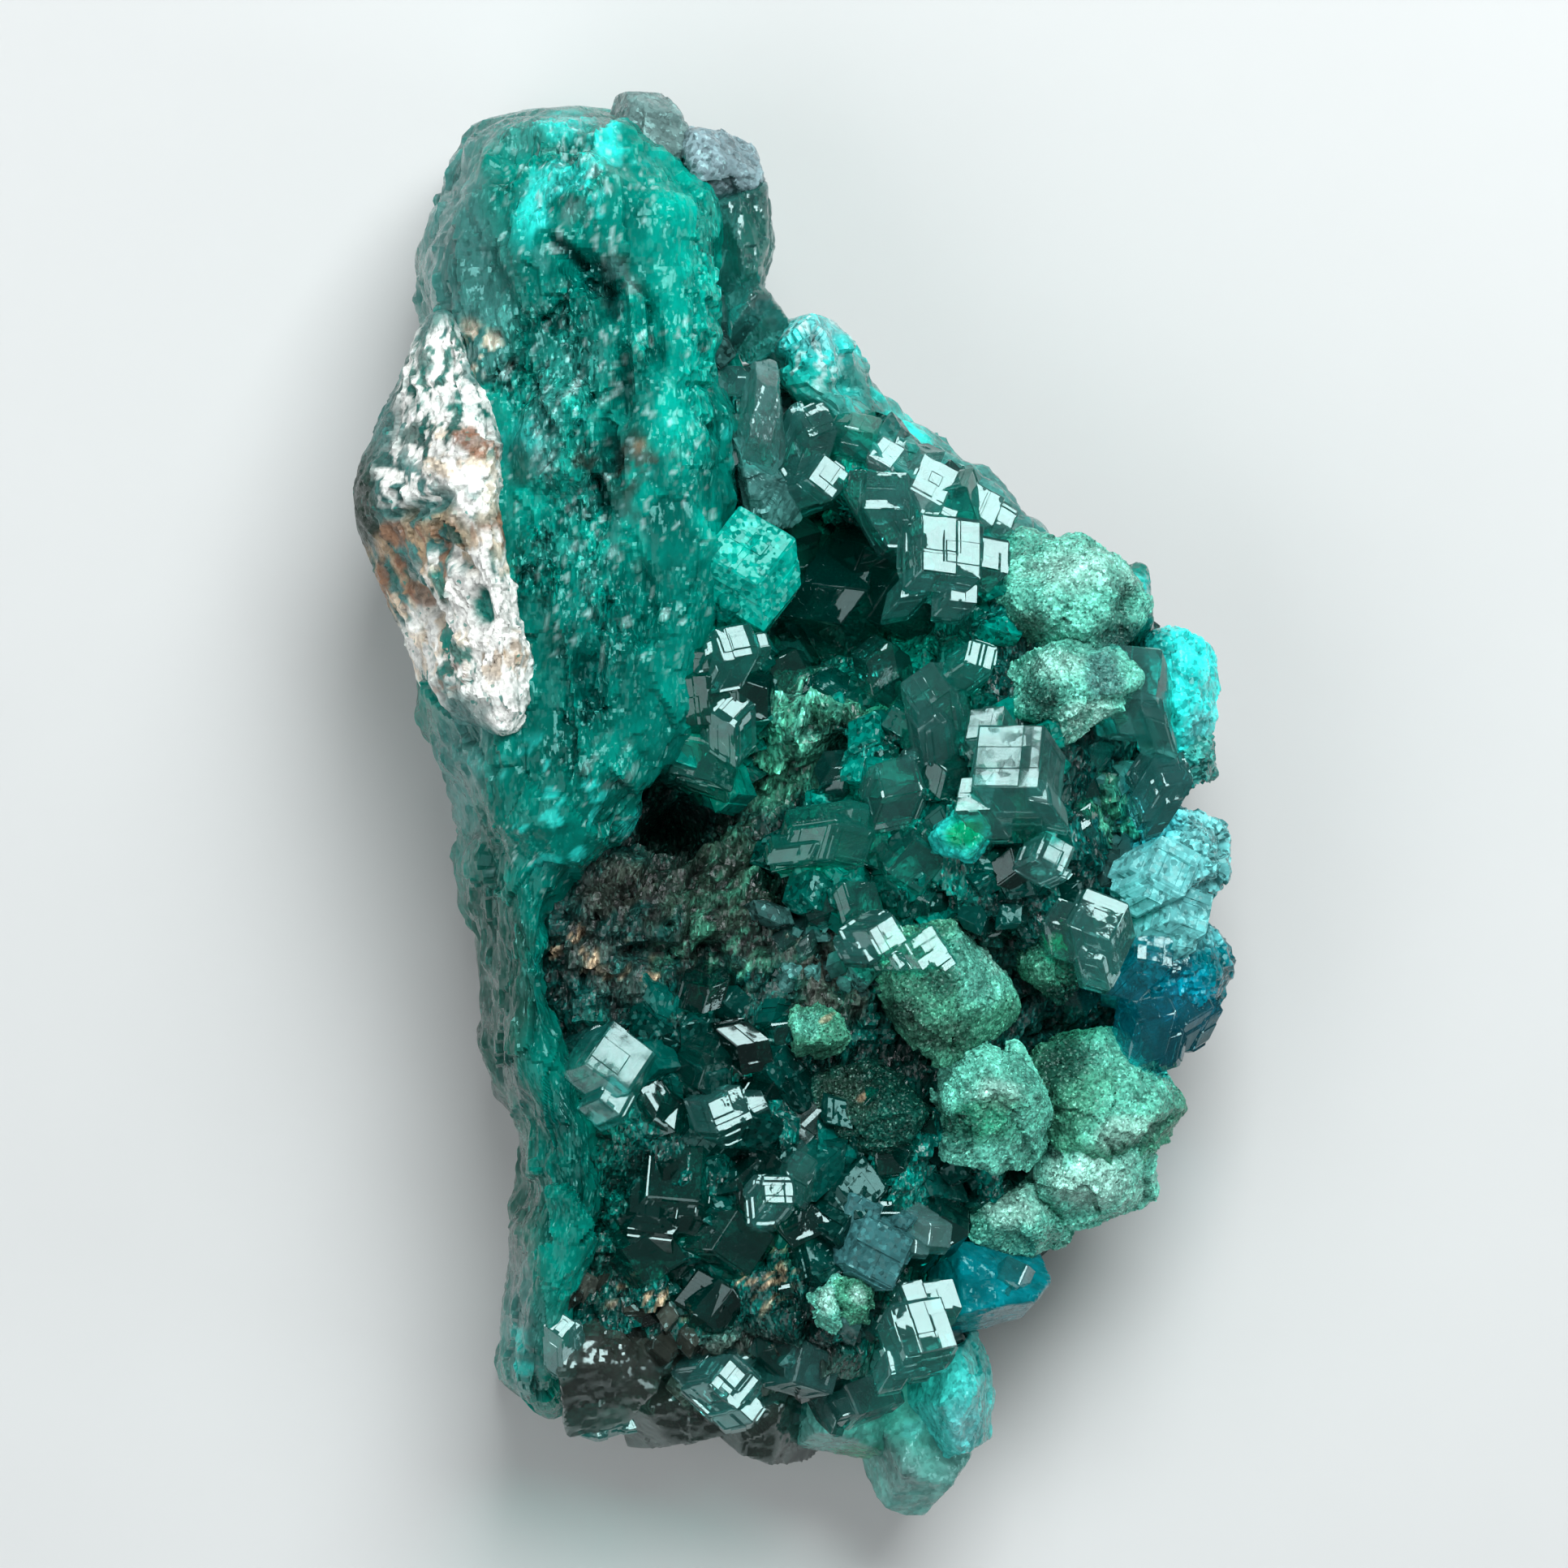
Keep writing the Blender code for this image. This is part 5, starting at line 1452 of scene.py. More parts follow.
                patches=[("cyan", 6.0, -18.6, 0.5, 0.8, 0, 0.8), ("ice_teal", 5.6, -21.0, 0.6, 0.8, 0, 0.7)],
            )
        ],
    ),
    ("bottom_crystals", "pale", [
        lump(-6.6, -18.6, 8.6, 1.75, 2.0, 3.0, "clear_brown", 12, 24.0, 0.3, glass=True),
        lump(-4.3, -20.2, 5.9, 1.9, 1.65, 3.2, "clear_brown", 14, 30.0, 0.2, glass=True),
        lump(-1.6, -20.3, 5.8, 1.8, 1.55, 3.2, "clear_brown", 14, 30.0, 0.2, glass=True),
        lump(
            1.4, -20.4, 5.3, 1.8, 1.8, 3.1, "tip_teal", 14, 30.0, 0.2,
            patches=[("emerald", 2.0, -22.2, 0.8, 0.4, 0, 0.7)],
        ),
        facing(0.6, -18.9, 11.0, 18, 280, 30, 1.2, 1.8, "clear_grey", 2, 0.4),
        facing(2.4, -19.8, 9.6, 22, 290, 70, 1.1, 1.7, "clear_grey", 1, 0.2),
        facing(-8.1, -17.3, 11.9, 18, 72, 96, 0.65, 1.4, "clear_grey", 1, 0.6, growths=1),
        facing(-6.4, -20.5, 9.3, 18, 72, -32, 0.85, 1.5, "clear_grey", 2, 0.5),
    ]),
]

COATED_PIECES = [
    ("bead_pair", [
        lump(
            0.95, -16.65, 11.7, 0.6, 0.8, 0.9, "mint", 10,
            patches=[("pale_mint", 0.9, -16.5, 0.3, 0.4, 0, 0.7)],
        ),
        lump(
            1.85, -16.5, 11.8, 0.65, 0.8, 0.9, "moss", 10,
            patches=[("pale_mint", 1.9, -16.3, 0.3, 0.3, 0, 0.6)],
        ),
    ]),
    ("coated_upper_crystal", [
        lump(9.1, 6.95, 10.3, 2.6, 2.15, 3.3, "mint", 16, patches=[
            # Painted highlight and shade: pale_mint on the top, where the light falls, and olive and
            # dark_green on the low sides.
            ("pale_mint", 9.4, 8.0, 1.6, 0.8, 0, 0.6), ("olive", 7.4, 5.8, 1.0, 1.0, 0, 0.85),
            ("grey_teal", 11.0, 5.4, 0.8, 0.7, 0, 0.85),
            ("dark_green", 10.6, 5.6, 1.0, 0.8, 0, 0.8), ("mint", 9.2, 6.8, 1.2, 0.8, 0, 0.4),
        ]),
    ]),
    ("coated_inner_crystal", [
        lump(8.75, 4.0, 11.6, 1.75, 1.5, 3.0, "mint", 14, patches=[
            # Painted highlight and shade: the pale_mint patch at the top, and dark_green on the lower left.
            ("pale_mint", 8.6, 4.8, 0.9, 0.5, 0, 0.5), ("pale_mint", 9.3, 2.9, 1.0, 0.6, 20, 0.8),
            ("dark_green", 8.0, 3.6, 0.7, 0.8, 0, 0.8), ("grey_teal", 10.2, 4.7, 0.7, 0.8, 0, 0.85),
        ]),
    ]),
    ("green_nodule", [
        lump(4.95, -6.15, 10.6, 2.25, 2.15, 3.2, "moss", 18, patches=[
            # Painted highlight and shade: mint and pale_mint on the upper right, black in the pocket on the
            # lower left.
            ("mint", 6.1, -5.2, 1.2, 1.3, 0, 0.9), ("pale_mint", 6.6, -4.7, 0.5, 0.6, 0, 0.6),
            ("black", 3.3, -6.9, 0.8, 0.5, 20, 0.8), ("olive", 4.4, -7.6, 1.4, 0.6, 0, 0.6),
            ("dark_green", 4.6, -5.6, 0.6, 0.6, 0, 0.7),
        ]),
    ]),
    ("small_nodule", [
        lump(0.65, -7.45, 11.2, 1.05, 0.75, 1.8, "moss", 12, patches=[
            ("mint", 0.3, -7.2, 0.5, 0.4, 0, 0.7), ("tan", 0.9, -7.0, 0.25, 0.1, 30, 0.6),
        ]),
    ]),
    ("bright_nodule", [
        lump(6.4, -9.9, 10.4, 1.85, 1.9, 3.0, "mint", 16, patches=[
            # Painted highlight and shade: pale_mint at the highlight, dark_green on the lower left.
            ("pale_mint", 6.6, -9.5, 0.7, 0.6, 0, 0.7), ("emerald", 6.2, -10.4, 1.2, 0.8, 0, 0.6),
            ("dark_green", 5.2, -10.8, 0.8, 0.8, 0, 0.8),
        ]),
    ]),
    ("shaded_nodule", [
        # Painted shade: the whole nodule is painted dark green, a shaded copy of the mint coat.
        lump(2.3, -10.2, 9.8, 2.05, 1.9, 2.7, "dark_green", 16, patches=[
            ("olive", 1.4, -9.6, 1.0, 0.8, 0, 0.7), ("tan", 2.2, -9.6, 0.3, 0.12, 30, 0.6),
            ("dark_green", 1.2, -10.8, 0.7, 0.9, 0, 0.8),
        ]),
    ]),
    ("dark_nodule", [
        lump(8.55, -5.05, 9.6, 1.25, 1.15, 2.6, "dark_green", 14, patches=[
            ("emerald", 8.6, -4.4, 0.35, 0.3, 0, 0.9), ("moss", 8.2, -5.4, 0.8, 0.7, 0, 0.7),
        ]),
    ]),
    ("coated_mass", [
        lump(10.1, -10.0, 7.6, 2.7, 2.5, 3.6, "moss", 18, patches=[
            ("mint", 11.2, -9.2, 1.6, 1.8, 0, 0.8), ("dark_green", 9.0, -8.8, 0.9, 0.9, 0, 0.8),
            ("pale_mint", 10.9, -10.9, 0.9, 0.5, 20, 0.6), ("moss", 9.6, -9.6, 1.0, 0.7, 20, 0.7),
        ]),
        lump(9.5, -12.3, 7.2, 2.2, 1.95, 3.4, "mint", 16, patches=[
            ("pale_mint", 9.9, -12.6, 1.5, 0.9, 0, 0.75), ("dark_green", 8.6, -11.4, 0.6, 0.4, 0, 0.8),
        ]),
        lump(7.1, -14.0, 7.4, 1.9, 1.2, 2.8, "mint", 14, patches=[
            ("pale_mint", 7.1, -13.5, 1.1, 0.6, 0, 0.7),
        ]),
    ]),
]

# Fields of small crystals: middle x and y, half sizes, most of them, smallest and largest radius, lift,
# tint, share of milky ones and the slot.
FIELDS = [
    (1.8, 7.6, 3.8, 4.0, 130, 0.35, 1.15, 0.2, "clear", 0.2, "clear"),
    (2.4, 10.8, 3.4, 1.5, 80, 0.3, 0.8, 0.1, "clear_pale", 0.3, "clear"),
    (0.1, 12.6, 0.9, 1.3, 24, 0.3, 0.6, 0.0, "clear_pale", 0.4, "clear"),
    (5.6, 6.6, 1.6, 1.6, 40, 0.25, 0.7, 0.3, "clear", 0.4, "clear"),
    (5.4, 1.0, 4.6, 2.6, 110, 0.3, 0.9, 0.4, "clear", 0.4, "clear"),
    (2.6, -2.0, 3.4, 2.2, 90, 0.3, 0.9, 0.3, "clear", 0.5, "clear"),
    (10.6, -0.4, 2.8, 2.4, 70, 0.25, 0.7, 0.3, "clear_grey", 0.5, "blue"),
    (10.8, -4.0, 2.0, 2.6, 60, 0.3, 0.8, 0.3, "clear_teal", 0.4, "blue"),
    (7.6, -2.6, 2.4, 1.4, 60, 0.3, 0.75, 0.2, "clear_deep", 0.4, "clear"),
    (1.0, -4.6, 1.8, 2.0, 40, 0.25, 0.6, 0.1, "clear_grey", 0.4, "clear"),
    (-2.8, -9.2, 2.8, 3.0, 100, 0.35, 1.1, 0.3, "clear_deep", 0.3, "clear"),
    (-1.7, -13.6, 4.0, 4.0, 180, 0.35, 1.15, 0.3, "clear_deep", 0.35, "clear"),
    (1.4, -13.2, 3.0, 3.2, 90, 0.3, 0.9, 0.3, "clear_deep", 0.35, "clear"),
    (5.2, -12.4, 2.4, 2.0, 50, 0.3, 0.8, 0.1, "clear_deep", 0.4, "clear"),
    (2.2, -18.4, 4.0, 2.4, 80, 0.35, 0.9, 0.2, "clear_grey", 0.25, "pale"),
    (-4.2, -18.4, 4.2, 2.0, 60, 0.35, 0.9, 0.2, "clear_brown", 0.25, "pale"),
    (-7.2, -16.9, 1.4, 1.2, 30, 0.3, 0.8, 0.3, "clear_brown", 0.3, "pale"),
    (-3.0, 2.6, 1.6, 2.2, 40, 0.3, 0.9, 0.3, "clear", 0.5, "clear"),
    (-1.8, 6.6, 0.9, 4.0, 40, 0.25, 0.7, 0.3, "clear", 0.5, "clear"),
    (-2.1, 14.4, 0.7, 5.2, 60, 0.25, 0.7, 0.2, "clear_grey", 0.4, "pale"),
]


# The tint of the milky crystals among clear ones.
MILKY_TINTS = {
    "clear_grey": "grey_teal", "clear_pale": "slope", "clear_brown": "grey_brown", "clear_teal": "blue_teal",
    "clear_deep": "deep_milk",
}


def spread_out(rng, x, y, wide, long, radius, taken):
    """Places in an oval for crystals of falling radius, each clear of those before it by half of both radii.

    A crystal that finds no room in sixteen tries is left out. taken holds x, y and radius of all so far.
    """
    found = []
    for size in radius:
        away = np.sqrt(rng.random(16))
        angle = rng.uniform(0.0, 2.0 * math.pi, 16)
        tries = np.stack([x + wide * away * np.cos(angle), y + long * away * np.sin(angle)], axis=1)
        others = np.array(taken).reshape(-1, 3)
        apart = np.hypot(*(tries[:, None, :] - others[None, :, :2]).transpose(2, 0, 1))
        gap = apart - 0.5 * (others[:, 2] + size)
        free = np.flatnonzero((gap > 0.0).all(axis=1))
        if len(free):
            taken.append((*tries[free[0]], size))
            found.append(taken[-1])
    return np.array(found).reshape(-1, 3)


def hold_inside(points):
    """Moves points back that stand out of the solid model's box by more than the margin, or lie below it."""
    low = np.array(CAD_BOX[0]) / MM - np.array([BOX_MARGIN, BOX_MARGIN, 0.0])
    high = np.array(CAD_BOX[1]) / MM + BOX_MARGIN
    return np.clip(points, low, high)


def marks(broken, crystals):
    """The finish attribute of a mass: how broken each place is, and how far it is grown crystal."""
    return np.stack([broken * (1.0 - 0.6 * crystals), crystals, broken * 0.0], axis=1)


def named_faces():
    """Middle, normal and radius of every named crystal's face, which the small crystals stay below."""
    found = []
    for _, _, members in GLASS_PIECES:
        for member in members:
            if "face" in member:
                found.append(
                    (*member["face"], *direction(member["tilt"], member["azimuth"]), member["radius"])
                )
    return np.array(found)


def add_crystal(shape, member, seed):
    """The crystal itself and the smaller ones that grew beside it in the same direction."""
    rng = np.random.default_rng(seed)
    size = (
        member["face"], member["tilt"], member["azimuth"], member["turn"], member["radius"], member["reach"],
    )
    points, quads, place = crystal_surface(*size, seed, member["steps"])
    shape.add(points, quads, colour(member["tint"]), member["finish"], place)
    normal = direction(member["tilt"], member["azimuth"])
    for number in range(member["growths"]):
        angle = rng.uniform(0.0, 2.0 * math.pi)
        side = np.array([math.cos(angle), math.sin(angle), 0.0])
        side -= normal * side.dot(normal)
        side /= np.linalg.norm(side)
        share = rng.uniform(0.35, 0.6)
        out = member["radius"] * (0.62 + 0.45 * share)
        face = np.array(member["face"]) + side * out - normal * member["radius"] * rng.uniform(0.1, 0.55)
        small = (
            face, member["tilt"] + rng.uniform(-3, 3), member["azimuth"] + rng.uniform(-4, 4),
            member["turn"] + rng.uniform(-3, 3), member["radius"] * share, member["reach"] * share * 1.25,
        )
        points, quads, place = crystal_surface(
            *small, seed + 31 * (number + 1), min(member["steps"], 1), 0.035, uneven=rng.uniform(0.6, 1.3)
        )
        shape.add(points, quads, colour(member["tint"]) * rng.uniform(0.7, 1.0), member["finish"], place)


def add_lump(shape, member, seed, grains=0.0):
    """A rounded crystal. Coated ones also get grains: layers of noise and broken faces along the normals."""
    cells = 30 if grains == 0.0 else 44
    points, quads = lump_surface(
        member["middle"], member["sizes"], cells, member["faces"], member["sharp"], seed,
    )
    normals = point_normals(points, quads)
    if grains > 0.0:
        layers = ((1.7, 1.1), (0.8, 0.6), (0.4, 0.3), (0.2, 0.2))
        strength = grains
        rise = 0.7 * grains * layered_noise(points, 1.2, seed)
    else:
        layers = ((1.3, 0.24), (0.6, 0.14), (0.28, 0.06))
        strength = max(member["finish"][0], member["finish"][1])
        rise = 0.02 * layered_noise(points, 0.7, seed)
    for number, (size, height) in enumerate(layers):
        rise += height * strength * broken_faces(points, size, seed + 2 + number)
    points = points + normals * rise[:, None]
    tint = paint(points, member["tint"], member["patches"], seed)
    shade = broken_faces(points, 0.45, seed + 9, lean=0.0, step=1.0)
    # Painted shade and highlight: raised places are painted lighter and hollows darker.
    tint = tint * (np.clip(1.0 + 1.7 * rise, 0.4, 1.8) * (1.0 + 0.22 * shade))[:, None]
    shape.add(points, quads, tint, member["finish"])


def prepare_materials():
    """Makes the materials once, whichever operator runs first."""
    if not FINISH:
        FINISH.update(make_materials())


class SpecimenSettings(bpy.types.PropertyGroup):
    """Sizes and colours of the specimen."""

    face_spacing: FloatProperty(
        name="Face spacing", description="Distance between points on the broken front faces",
        default=0.00012, min=0.00005, max=0.001, unit="LENGTH", precision=5,
    )
    wall_spacing: FloatProperty(
        name="Wall spacing", description="Distance between points on the side walls",
        default=0.0003, min=0.0001, max=0.002, unit="LENGTH", precision=5,
    )
    grain_height: FloatProperty(
        name="Grain height", description="Height of the grains on coated crystals",
        default=0.00017, min=0.0, max=0.001, unit="LENGTH", precision=5,
    )
    small_crystals: FloatProperty(
        name="Small crystals", description="Share of the small crystals that are made", default=1.0, min=0.0,
        max=2.0,
        subtype="FACTOR",
    )
    seed: IntProperty(name="Seed", description="Chooses the random shapes", default=7, min=0)


class StageSettings(bpy.types.PropertyGroup):
    """The floor and the lights."""

    floor_colour: FloatVectorProperty(
        name="Floor colour", description="Colour of the plain floor", subtype="COLOR", size=3,
        default=(0.60, 0.60, 0.59), min=0.0, max=1.0,
    )
    key_radiance: FloatProperty(
        name="Key light", description="Brightness of the key softbox's face", default=12.5, min=0.0
    )
    fill_radiance: FloatProperty(
        name="Fill light", description="Brightness of the fill panel's face", default=1.9, min=0.0
    )
    sky: FloatProperty(
        name="Sky", description="Brightness of the even light all round", default=0.15, min=0.0,
    )


class RoughMass:
    """What the masses share. Each names its tables, the spacings' factors, its seed, and its piece."""

    face_factor = 1.0
    wall_factor = 1.0
    seed_offset = 0

    def execute(self, context):
        prepare_materials()
        settings = context.scene.specimen
        points, quads, tint, finish = rough_skin(
            self.rows, self.look, settings.face_spacing / MM * self.face_factor,
            settings.wall_spacing / MM * self.wall_factor, settings.seed + self.seed_offset,
        )
        shape = Shape()
        shape.add(hold_inside(points), quads, tint, finish)
        shape.make(self.piece, FINISH[self.finish], self.slot, self.nodes, self.smooth)
        return {"FINISHED"}


class SPECIMEN_OT_vein(RoughMass, bpy.types.Operator):
    """Builds the massive vein with its broken front face"""

    bl_idname = "specimen.vein"
    bl_label = "Massive vein"
    rows, look = SLAB_ROWS, SLAB_LOOK
    piece, finish, slot, nodes, smooth = "massive_vein", "massive", "massive", ["vein_slab"], 14.0


class SPECIMEN_OT_calcite(RoughMass, bpy.types.Operator):
    """Builds the white and tan crust on the left flank"""

    bl_idname = "specimen.calcite"
    bl_label = "Calcite crust"
    rows, look = CALCITE_ROWS, CALCITE_LOOK
    face_factor, wall_factor, seed_offset = 0.8, 0.6, 300
    piece, finish, slot, nodes, smooth = "calcite_crust", "calcite", "calcite", ["calcite_patch"], 25.0


class SPECIMEN_OT_rock(RoughMass, bpy.types.Operator):
    """Builds the dark rock that carries the crystals"""

    bl_idname = "specimen.rock"
    bl_label = "Dark rock"
    rows, look = ROCK_ROWS, ROCK_LOOK
    face_factor, wall_factor, seed_offset = 1.5, 1.2, 600
    piece, finish, slot, nodes, smooth = "dark_rock", "rock", "rock", ["matrix_rock"], 18.0


class SPECIMEN_OT_ridge(RoughMass, bpy.types.Operator):
    """Builds the smooth teal slope of the ridge at the upper right"""

    bl_idname = "specimen.ridge"
    bl_label = "Ridge slope"
    rows, look = RIDGE_ROWS, RIDGE_LOOK
    wall_factor, seed_offset = 0.7, 900
    piece, finish, slot, nodes, smooth = "ridge_slope", "milky", "pale", [
        "ridge_knob", "ridge_end_crystal",
    ], 20.0


class SPECIMEN_OT_glassy(bpy.types.Operator):
    """Builds every named glassy crystal with its growth steps and lines"""

    bl_idname = "specimen.glassy"
    bl_label = "Glassy crystals"

    def execute(self, context):
        prepare_materials()
        seed = context.scene.specimen.seed
        for number, (name, slot, members) in enumerate(GLASS_PIECES):
            glass, milky = Shape(), Shape()
            for part, member in enumerate(members):
                chosen = seed + 100 * number + 7 * part
                if "face" in member:
                    add_crystal(glass if member["glass"] else milky, member, chosen)
                else:
                    add_lump(glass if member["glass"] else milky, member, chosen)
            for shape, ending, finish in ((glass, "glass", slot), (milky, "milky", "milky")):
                if shape.count:
                    shape.points = [hold_inside(points) for points in shape.points]
                    shape.make(f"{name}_{ending}", FINISH[finish], slot, [name], smooth=16.0)
        return {"FINISHED"}


class SPECIMEN_OT_coated(bpy.types.Operator):
    """Builds the crystals under their green coat of grains"""

    bl_idname = "specimen.coated"
    bl_label = "Coated crystals"

    def execute(self, context):
        prepare_materials()
        settings = context.scene.specimen
        for number, (name, members) in enumerate(COATED_PIECES):
            shape = Shape()
            for part, member in enumerate(members):
                add_lump(
                    shape, member, settings.seed + 5000 + 100 * number + 7 * part,
                    settings.grain_height / MM,
                )
            shape.points = [hold_inside(points) for points in shape.points]
            shape.make(f"{name}_coat", FINISH["coated"], "coated", [name], smooth=22.0)
        return {"FINISHED"}


class SPECIMEN_OT_small_crystals(bpy.types.Operator):
    """Scatters the small crystals between the named ones"""

    bl_idname = "specimen.small_crystals"
    bl_label = "Small crystals"

    def execute(self, context):
        prepare_materials()
        settings = context.scene.specimen
        rng = np.random.default_rng(settings.seed + 9000)
        tops = named_faces()
        shapes, taken = {}, []
        for field, (x, y, wide, long, count, least, most, lift, tint, milky, slot) in enumerate(FIELDS):
            count = int(count * settings.small_crystals)
            radius = np.sort(least + (most - least) * rng.random(count) ** 1.8)[::-1]
            px, py, radius = spread_out(rng, x, y, wide, long, radius, taken).T
            count = len(px)
            reach = radius * rng.uniform(1.0, 1.8, count)
            ground = np.maximum(crown_height(ROCK_ROWS, px, py), crown_height(SLAB_ROWS, px, py))
            ground = np.maximum(ground, crown_height(RIDGE_ROWS, px, py))
            top = ground + lift * rng.uniform(-0.2, 1.0, count) + radius * rng.uniform(0.15, 0.85, count)
            for fx, fy, fz, nx, ny, nz, wide_face in tops:
                near = np.hypot(px - fx, py - fy) < wide_face * 0.95 + radius * 0.5
                level = fz - ((px - fx) * nx + (py - fy) * ny) / nz
                top = np.where(near, np.minimum(top, level - 0.35 * wide_face), top)
            clouded = rng.random(count) < milky + 0.3
            shade = 0.25 + 1.05 * rng.random(count) ** 1.6
            lines = rng.random(count) ** 2
            frost = np.where(clouded, rng.random(count), 0.4 * rng.random(count) ** 4)
            kept = (ground > 0.0) & (top > ground - 1.2)
            for cloud in (False, True):
                shape = shapes.setdefault((slot, cloud), Shape())
                body = colour(MILKY_TINTS.get(tint, "teal")) if cloud else colour(tint)
                small = kept & (clouded == cloud) & (radius < CLUSTER_RADIUS)
                if small.any():
                    centres = np.stack([px, py, top - reach * 0.9], axis=1)[small]
                    turns = scattered_turns(rng, small.sum(), 65.0)
                    points, quads = crystal_cluster(
                        centres, turns, radius[small], reach[small], rng.uniform(0.5, 1.4, small.sum())
                    )
                    finish = np.stack([frost if cloud else lines, frost * (not cloud), lines], axis=1)[small]
                    tints = np.repeat(body * shade[small, None], 14, axis=0)
                    # Painted shade: each crystal is painted darker the lower a point lies below its top,
                    # where it sinks among the others.
                    depth = np.repeat(top[small], 14) - points[:, 2]
                    tints *= np.clip(1.1 - 0.8 * depth, 0.25, 1.1)[:, None]
                    shape.add(hold_inside(points), quads, tints, np.repeat(finish, 14, axis=0))
                for one in np.flatnonzero(kept & (clouded == cloud) & (radius >= CLUSTER_RADIUS)):
                    towards = rng.normal(70.0, 20.0) if rng.random() < 0.14 else rng.uniform(105.0, 395.0)
                    face = (px[one], py[one], top[one])
                    points, quads, place = crystal_surface(
                        face, rng.uniform(12.0, 50.0), towards, rng.uniform(0.0, 360.0), radius[one],
                        reach[one],
                        settings.seed + 200 * field + one, steps=int(radius[one] > STEPPED_RADIUS),
                        rounding=0.035,
                        uneven=rng.uniform(0.55, 1.35),
                    )
                    finish = (frost[one], 0.0, lines[one]) if cloud else (lines[one], frost[one], lines[one])
                    # Painted shade, as for the small ones: darker the lower a point lies below the crystal's
                    # top.
                    tints = body * shade[one] * np.clip(1.1 - 0.7 * (top[one] - points[:, 2:]), 0.25, 1.1)
                    shape.add(hold_inside(points), quads, tints, finish, place)
        for (slot, cloud), shape in shapes.items():
            if shape.count:
                name = f"small_crystals_{slot}_{'milky' if cloud else 'glass'}"
                shape.make(name, FINISH["milky" if cloud else slot], slot, [], smooth=16.0)
        return {"FINISHED"}


class SPECIMEN_OT_stage(bpy.types.Operator):
    """Builds the plain floor, the soft lights and the camera"""

    bl_idname = "specimen.stage"
    bl_label = "Stage"

    def execute(self, context):
        settings = context.scene.specimen_stage
        make_floor(settings.floor_colour)
        target = np.array([0.0, 0.0, 0.009])
        make_softbox("key_softbox", target, 36.0, 70.0, 0.25, 0.15, settings.key_radiance, (0.93, 0.98, 1.0))
        make_softbox(
            "fill_panel", target, 44.0, 205.0, 0.32, 0.30, settings.fill_radiance, (0.93, 0.97, 1.0),
        )
        make_softbox(
            "side_softbox", target, 70.0, 345.0, 0.26, 0.09, settings.fill_radiance * 2.4, (0.9, 0.97, 1.0),
        )
        make_sky(settings.sky)
        make_camera(context.scene)
        context.scene.view_settings.view_transform = "Standard"
        context.scene.cycles.use_denoising = True
        context.scene.cycles.adaptive_threshold = 0.04
        context.scene.cycles.max_bounces = 5
        context.scene.cycles.diffuse_bounces = 2
        context.scene.cycles.transmission_bounces = 5
        context.scene.cycles.caustics_reflective = False
        context.scene.cycles.sample_clamp_indirect = 6.0
        return {"FINISHED"}


def make_floor(tone):
    """A flat square grid, each point at the origin's height, with a faintly mottled pale finish."""
    line = np.linspace(-1.5, 1.5, 9)
    across, up = np.meshgrid(line, line, indexing="ij")
    points = np.stack([across, up, np.zeros_like(across)], axis=-1).reshape(-1, 3)
    quads = grid_quads(np.arange(81).reshape(9, 9))
    mesh = bpy.data.meshes.new("floor")
    mesh.from_pydata(points.tolist(), [], quads.tolist())
    material = bpy.data.materials.new("pale_floor")
    material.use_nodes = True
    tree = material.node_tree
    shader = tree.nodes["Principled BSDF"]
    place = put(tree, "ShaderNodeTexCoord").outputs["Object"]
    clouds = use_group(tree, "Mottle", {"Scale": 60.0, "Low": 0.985, "High": 1.01, "Vector": place})[0]
    base = put(tree, "ShaderNodeRGB").outputs[0]
    base.default_value = (*tone, 1.0)
    set_inputs(tree, shader, {"Base Color": scaled(tree, base, clouds), "Roughness": 0.85})
    mesh.materials.append(material)
    floor = bpy.data.objects.new("floor", mesh)
    bpy.context.scene.collection.objects.link(floor)


def make_softbox(name, target, tilt, azimuth, distance, size, radiance, tone):
    """A square light that faces the target. Its power is radiance times pi times its area."""
    lamp = bpy.data.lights.new(name, "AREA")
    lamp.shape = "SQUARE"
    lamp.size = size
    lamp.energy = radiance * math.pi * size * size
    lamp.color = tone
    light = bpy.data.objects.new(name, lamp)
    way = direction(tilt, azimuth)
    light.location = target + way * distance
    light.rotation_euler = Vector(way).to_track_quat("Z", "Y").to_euler()
    bpy.context.scene.collection.objects.link(light)


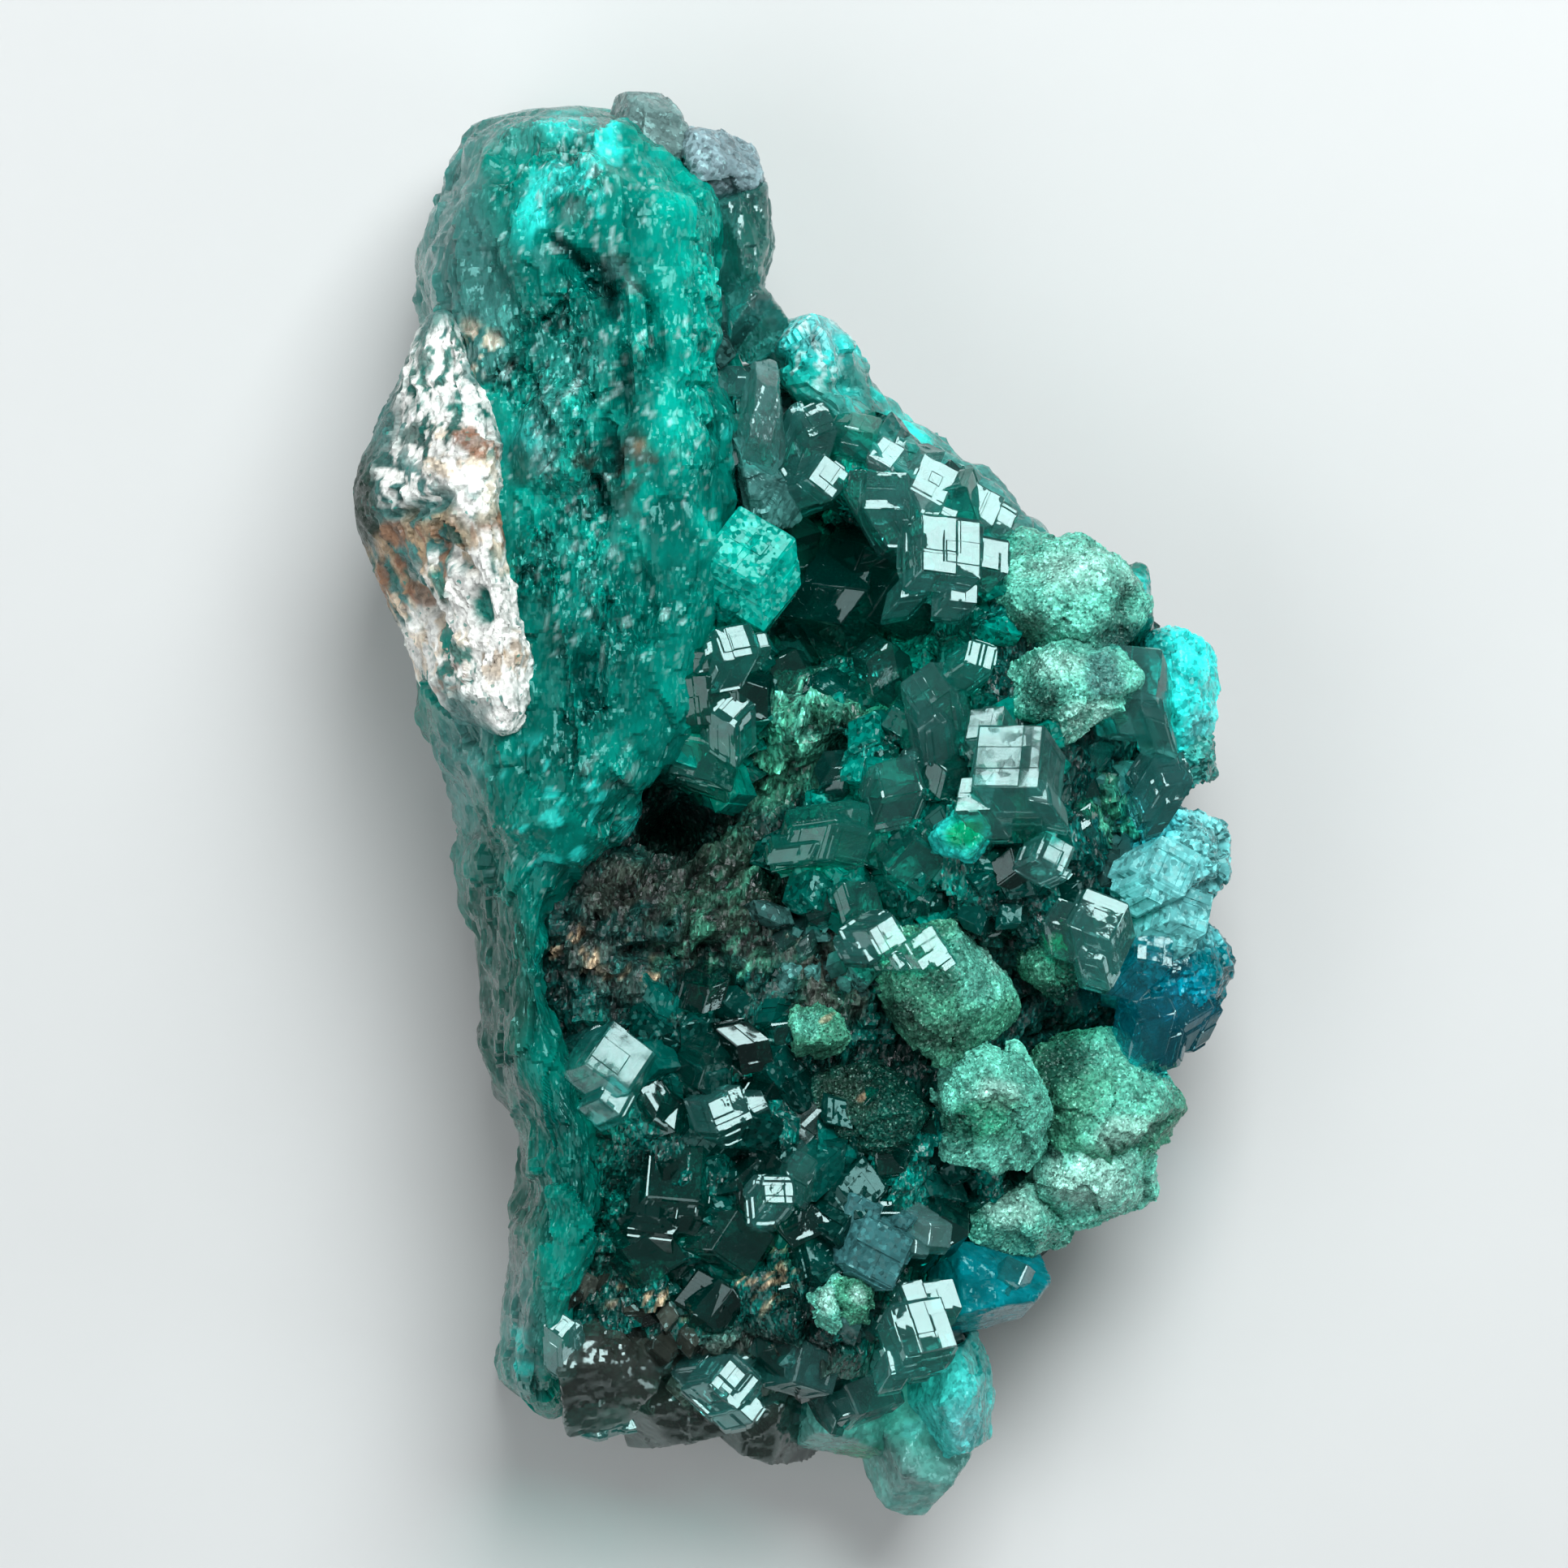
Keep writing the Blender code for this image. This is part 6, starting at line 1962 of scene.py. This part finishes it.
def make_sky(strength):
    world = bpy.data.worlds.new("even_light")
    world.use_nodes = True
    background = world.node_tree.nodes["Background"]
    background.inputs["Color"].default_value = (0.93, 0.97, 1.0, 1.0)
    background.inputs["Strength"].default_value = strength
    bpy.context.scene.world = world


def make_camera(scene):
    """A long lens straight above the specimen, framed as in the photograph."""
    lens = bpy.data.cameras.new("camera")
    lens.lens = LENS_LENGTH
    lens.sensor_width = 36.0
    lens.clip_start = 0.01
    lens.clip_end = 10.0
    camera = bpy.data.objects.new("camera", lens)
    camera.location = CAMERA_PLACE
    scene.collection.objects.link(camera)
    scene.camera = camera


class SPECIMEN_PT_sidebar(bpy.types.Panel):
    """Lists the specimen's settings and the operators that build it"""

    bl_idname = "SPECIMEN_PT_sidebar"
    bl_label = "Dioptase specimen"
    bl_space_type = "VIEW_3D"
    bl_region_type = "UI"
    bl_category = "Specimen"

    def draw(self, context):
        layout = self.layout
        for group in (context.scene.specimen, context.scene.specimen_stage):
            for label in group.__annotations__:
                layout.prop(group, label)
        for operator in OPERATORS:
            layout.operator(operator.bl_idname)


OPERATORS = (
    SPECIMEN_OT_stage,
    SPECIMEN_OT_vein,
    SPECIMEN_OT_calcite,
    SPECIMEN_OT_rock,
    SPECIMEN_OT_ridge,
    SPECIMEN_OT_glassy,
    SPECIMEN_OT_coated,
    SPECIMEN_OT_small_crystals,
)
CLASSES = (SpecimenSettings, StageSettings, *OPERATORS, SPECIMEN_PT_sidebar)


def register():
    for kind in CLASSES:
        bpy.utils.register_class(kind)
    bpy.types.Scene.specimen = PointerProperty(type=SpecimenSettings)
    bpy.types.Scene.specimen_stage = PointerProperty(type=StageSettings)


def unregister():
    del bpy.types.Scene.specimen_stage
    del bpy.types.Scene.specimen
    for kind in reversed(CLASSES):
        bpy.utils.unregister_class(kind)


def main():
    register()
    bpy.ops.specimen.stage()
    bpy.ops.specimen.vein()
    bpy.ops.specimen.calcite()
    bpy.ops.specimen.rock()
    bpy.ops.specimen.ridge()
    bpy.ops.specimen.glassy()
    bpy.ops.specimen.coated()
    bpy.ops.specimen.small_crystals()


if __name__ == "__main__":
    main()
